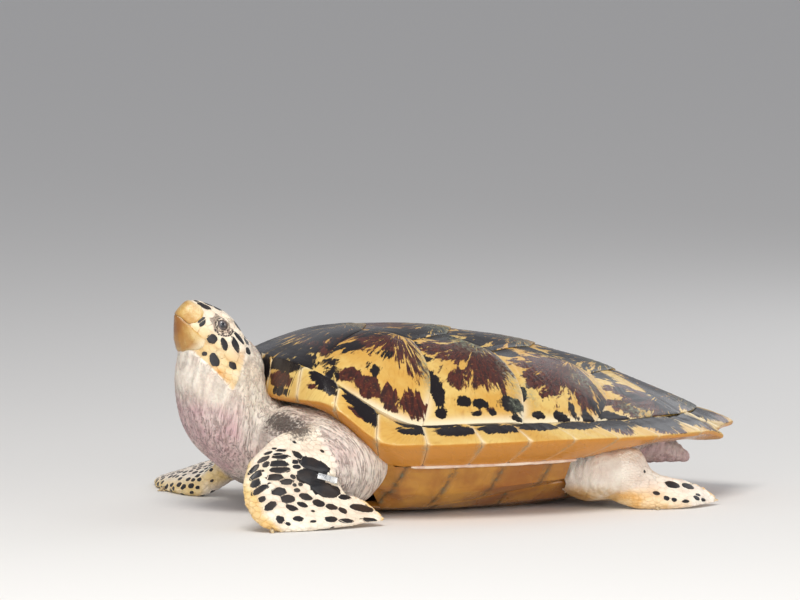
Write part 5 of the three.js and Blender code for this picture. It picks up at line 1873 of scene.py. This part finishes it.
def scale_coat(name, seeds, unwrap, thickness=1.0):
    """One joined piece with a scale on every seed."""
    near = neighbours_of(seeds)
    whole = bmesh.new()
    shape = bpy.data.meshes.new("scale")
    owners, shares, heights = [], [], []
    for index, item in enumerate(seeds):
        flat = trimmed_disc(item, [seeds[i] for i in near[index]])
        if len(flat.faces) != 1 or flat.faces[0].calc_area() < LEAST_SIDE ** 2:
            flat.free()
            continue
        if flat.faces[0].normal.z < 0:
            bmesh.ops.reverse_faces(flat, faces=flat.faces[:])
        notes = domed(flat, item)
        flat.to_mesh(shape)
        flat.free()
        whole.from_mesh(shape)
        owners += [index] * len(notes)
        shares += [share for share, height in notes]
        heights += [height for share, height in notes]
    corners, local = [], []
    for v, index, height in zip(whole.verts, owners, heights):
        item = seeds[index]
        local.append((v.co.x, v.co.y))
        guess = item.place + v.co.x * item.lie + v.co.y * item.across
        foot, facing, _, _ = skin_tree.find_nearest(guess)
        lean = (0.5 * facing + 0.5 * item.facing).normalized()
        lift = min(1.0, item.wide / NARROW) if height > 0 else 1.0
        v.co = foot + lean * height * thickness * lift * MM
        v.co.z = max(v.co.z, SOLE)
        corners.append(skin_kd.find(foot)[1])
    bmesh.ops.recalc_face_normals(whole, faces=whole.faces)
    piece = finished(whole, name, SCALE_HORN, None, 80)
    mesh = piece.data
    put_corners(mesh, corners_of(mesh) - under_tag(corners_of(mesh), skin_facing[corners]))
    dark_seeds.extend(item for item in seeds if item.dark)
    # The scales carry only a small share of the skin's painted crease shade
    for title, values in hide_marks.items():
        store(mesh, title, np.asarray(values)[corners] * (0.15 if title == "crease" else 1.0))
    owners, shares = np.array(owners), np.array(shares)
    core = np.array([seeds[i].core for i in owners])
    dark = np.array([seeds[i].dark for i in owners])
    store(mesh, "spot", np.clip(0.5 + (core - shares) * STAIN_EDGE, 0, 1) * dark)
    roots = np.array([unwrap(item) for item in seeds])[owners]
    width = np.array([max(seeds[i].long, seeds[i].wide) for i in owners])[:, None] * 1.35
    spread = roots + UV_SIZE * np.array(local) / width
    layer = mesh.uv_layers.new(name="OFBake")
    layer.data.foreach_set("uv", spread[read_rows(mesh.loops, "vertex_index", 1, np.int64)[:, 0]].ravel())
    mesh.calc_loop_triangles()
    print(name, len(seeds), "seeds,", len(mesh.loop_triangles), "triangles")
    return piece


# %% [markdown]
# The unwraps treat each part as simply as its shape allows: the head is a drum that is
# unrolled, and a flipper is a leaf with its two faces laid side by side.

# %% Grow the scales
def head_unwrap(item):
    behind, out, above = in_head(np.array([item.place]))
    turn = math.atan2(out[0], above[0] - 15 * MM)
    return 0.05 + 0.9 * behind[0] / 0.14, 0.5 + 0.45 * turn / math.pi


def leaf_unwrap(node_name, along, across, face):
    low, high = corners_of_box(node_name)
    size = high - low

    def unwrap(item):
        share = (np.array(item.place) - low) / size
        sheet = 0.0 if item.facing.dot(Vector(face)) > 0 else 0.5
        return sheet + 0.02 + 0.46 * share[along], 0.03 + 0.94 * share[across]
    return unwrap


def outside_shell(corners):
    """Leaves out the corners that a plate lies close over."""
    return [i for i in corners
            if shell_tree.find_nearest(Vector(skin_places[i]), 7 * MM)[0] is None]


behind, out, above = in_head(skin_places)
lid_zone = (eye_spread(behind, above) < LIDS_END) & (np.abs(out) > HEAD_SIDE)
under_beak, _ = tree_of(UNDER_SKIN)
bare = np.array([under_beak.find_nearest(Vector(p), 2.5 * MM)[0] is None for p in skin_places])
head_mask = (hide_marks["cover"] > 0.6) & ~lid_zone & bare
head_seeds = [head_seed(row, side) for row in HEAD_SCALES for side in (LEFT, RIGHT)]
head_seeds += [head_seed(row, LEFT) for row in MIDDLE_SCALES]
head_seeds += lid_seeds(LEFT) + lid_seeds(RIGHT)
head_seeds = dart_seeds(np.flatnonzero(head_mask), head_seeds, lambda i: 5.2 * MM,
                        lambda i: HEAD_BACK, lambda i, chance: 0.0, 11)
scale_coat("scales_head", head_seeds, head_unwrap, 0.8)

FLOW = {"front_flipper_left": (0.95, -0.2, -0.2), "front_flipper_right": (0.1, 0.98, -0.15),
        "hind_flipper_left": (0.93, -0.3, -0.15), "hind_flipper_right": (0.93, 0.3, -0.15)}


def outer_seed(row):
    x, z, long, wide, tilt, dark = row
    hit = skin_tree.ray_cast(Vector((x * MM, -0.6, z * MM)), Vector((0, 1, 0)))[0]
    slope = math.radians(tilt)
    return planted(hit, (math.cos(slope), 0.1, math.sin(slope)), OVAL_LONG * long, OVAL_WIDE * wide, dark,
                   GREAT_CORE if long > GREAT_LONG else DARK_CORE)


def hind_seed(row, side):
    x, out, z, long, wide, tilt, dark = row
    slope = math.radians(tilt)
    return planted((x * MM, side * out * MM, z * MM), (math.cos(slope), 0, math.sin(slope)), long, wide, dark)


def flipper_scales(node_name, fixed, half, share_dark, seed, face, axes, blade):
    """Covers a flipper's blade with scales; blade says how much a corner is part of it."""
    spread = blade(skin_places)
    corners = outside_shell(np.flatnonzero((shares[node_name] > 0.5) & (spread > 0.05)))
    facing = skin_facing @ np.array(face)

    def size(i):
        return half * lerp(0.42, 1.0, spread[i]) * (0.72 if abs(facing[i]) < 0.45 else 1.0)

    def darkness(i, chance):
        wanted = share_dark * smoothstep(0.5, 1.0, spread[i]) * (1.0 if facing[i] > 0.3 else 0.35)
        return 1.0 if chance.random() < wanted else 0.0

    seeds = dart_seeds(corners, fixed, size, lambda i: FLOW[node_name], darkness, seed, 1.5)
    return scale_coat("scales_" + node_name, seeds,
                      leaf_unwrap(node_name, axes[0], axes[1], face))


def near_blade(places):
    return smoothstep(0.165, 0.13, places[:, 2])


def far_blade(places):
    return smoothstep(0.17, 0.23, places[:, 1])


def hind_blade(places):
    return smoothstep(0.225, 0.30, places[:, 0])


flipper_scales("front_flipper_left", [outer_seed(row) for row in FLIPPER_SCALES], 4.4 * MM, 0.05, 21,
               (0.1, -0.95, 0.3), (0, 2), near_blade)
flipper_scales("front_flipper_right", [], 6.0 * MM, 0.8, 22, (-0.4, 0.1, 0.9), (1, 0), far_blade)
flipper_scales("hind_flipper_left", [hind_seed(row, LEFT) for row in HIND_SCALES], 4.6 * MM, 0.03, 23,
               (0.1, -0.3, 0.95), (0, 1), hind_blade)
flipper_scales("hind_flipper_right", [hind_seed(row, RIGHT) for row in HIND_SCALES], 4.6 * MM, 0.03, 24,
               (0.1, 0.3, 0.95), (0, 1), hind_blade)
print(len(dark_seeds), "dark scales in all")

# %% [markdown]
# The skin carries the same dark marks as the scales over it, and sinks a little beneath the
# great dark scales and beneath the tag, so that it never shows through them.

# %% Finish the skin
SKIN_SINK = 0.8 * MM
spot, sunk = np.zeros(len(skin_places)), np.zeros(len(skin_places))
for item in dark_seeds:
    for place, corner, gap in skin_kd.find_range(item.place, max(item.long, item.wide)):
        share = gap / item.reach(place - item.place) if gap > 0 else 0.0
        stain = item.dark * float(np.clip(0.5 + (item.core - share) * STAIN_EDGE, 0, 1))
        spot[corner] = max(spot[corner], stain)
        if item.long > LARGE:
            sunk[corner] = max(sunk[corner], float(smoothstep(1.0, 0.7, share)))
sinking = skin_facing * (SKIN_SINK * sunk)[:, None] + under_tag(skin_places, skin_facing)
put_corners(skin_mesh, skin_places - sinking)
skin = keep_skin(spot)
print("dark marks on", int((spot > 0.5).sum()), "corners of the skin")

# %% [markdown]
# ## The studio
# A pale floor under four soft sheets of light. The turtle is seen from its left, a little
# from the front and from just above the floor.

# %% Floor, lamps and air
FLOOR_COLOUR = (0.80, 0.79, 0.77, 1)


def studio_floor():
    work = bmesh.new()
    bmesh.ops.create_circle(work, cap_ends=True, segments=64, radius=60.0)
    mesh = mesh_of(work, "studio_floor")
    mesh.materials.append(new_material("floor_paper", Base_Color=FLOOR_COLOUR, Roughness=0.85)[0])
    floor = in_scene("studio_floor", mesh)
    floor.location.z = cad_box[0][2] - 0.2 * MM


def studio_lamp(name, watts, size, place, aim, colour):
    lamp = bpy.data.lights.new(name, "AREA")
    lamp.energy = watts
    lamp.size = size
    lamp.color = colour
    holder = in_scene(name, lamp)
    holder.location = place
    holder.rotation_euler = (Vector(aim) - Vector(place)).to_track_quat("-Z", "Y").to_euler()


def studio_air(colour, strength):
    world = bpy.data.worlds.new("studio_air")
    world.use_nodes = True
    back = world.node_tree.nodes["Background"].inputs
    back["Color"].default_value = colour
    back["Strength"].default_value = strength
    bpy.context.scene.world = world


print("the floor lies at", cad_box[0][2], "m")

# %% [markdown]
# The camera stands far off with a long lens, so the turtle isn't distorted.

# %% Camera and light
VIEW_TURN = math.radians(-20)    # the camera stands this far round towards the head
VIEW_RISE = math.radians(5.5)
VIEW_DISTANCE = 20.0
PIXELS_PER_METRE = 585           # on a picture 800 wide
AIM = Vector((-0.0639, 0.0596, 0.3435))


def studio_camera():
    lens = bpy.data.cameras.new("studio_camera")
    lens.sensor_width = 36
    lens.lens = PIXELS_PER_METRE * VIEW_DISTANCE / 800 * lens.sensor_width
    lens.clip_end = 60
    back = Vector((math.sin(VIEW_TURN) * math.cos(VIEW_RISE), -math.cos(VIEW_TURN) * math.cos(VIEW_RISE),
                   math.sin(VIEW_RISE)))
    camera = in_scene("studio_camera", lens)
    camera.location = AIM + VIEW_DISTANCE * back
    camera.rotation_euler = back.to_track_quat("Z", "Y").to_euler()
    bpy.context.scene.camera = camera


bpy.context.scene.view_settings.view_transform = "Standard"
studio_floor()
studio_lamp("sun_sheet", 160, 2.2, (-1.6, -2.4, 4.2), (0, 0, 0.15), (1.0, 0.97, 0.92))
studio_lamp("side_sheet", 75, 3.0, (-2.2, -4.4, 1.2), (-0.2, 0, 0.15), (0.95, 0.97, 1.0))
studio_lamp("rear_sheet", 26, 2.4, (3.0, 1.8, 2.2), (0.2, 0, 0.15), (0.95, 0.97, 1.0))
studio_lamp("low_sheet", 34, 1.6, (2.2, -3.0, 0.6), (0.35, -0.1, 0.1), (1.0, 0.98, 0.96))
studio_air((0.94, 0.95, 1.0, 1), 0.40)
studio_camera()
print("camera stands at", [round(v, 2) for v in bpy.context.scene.camera.location])
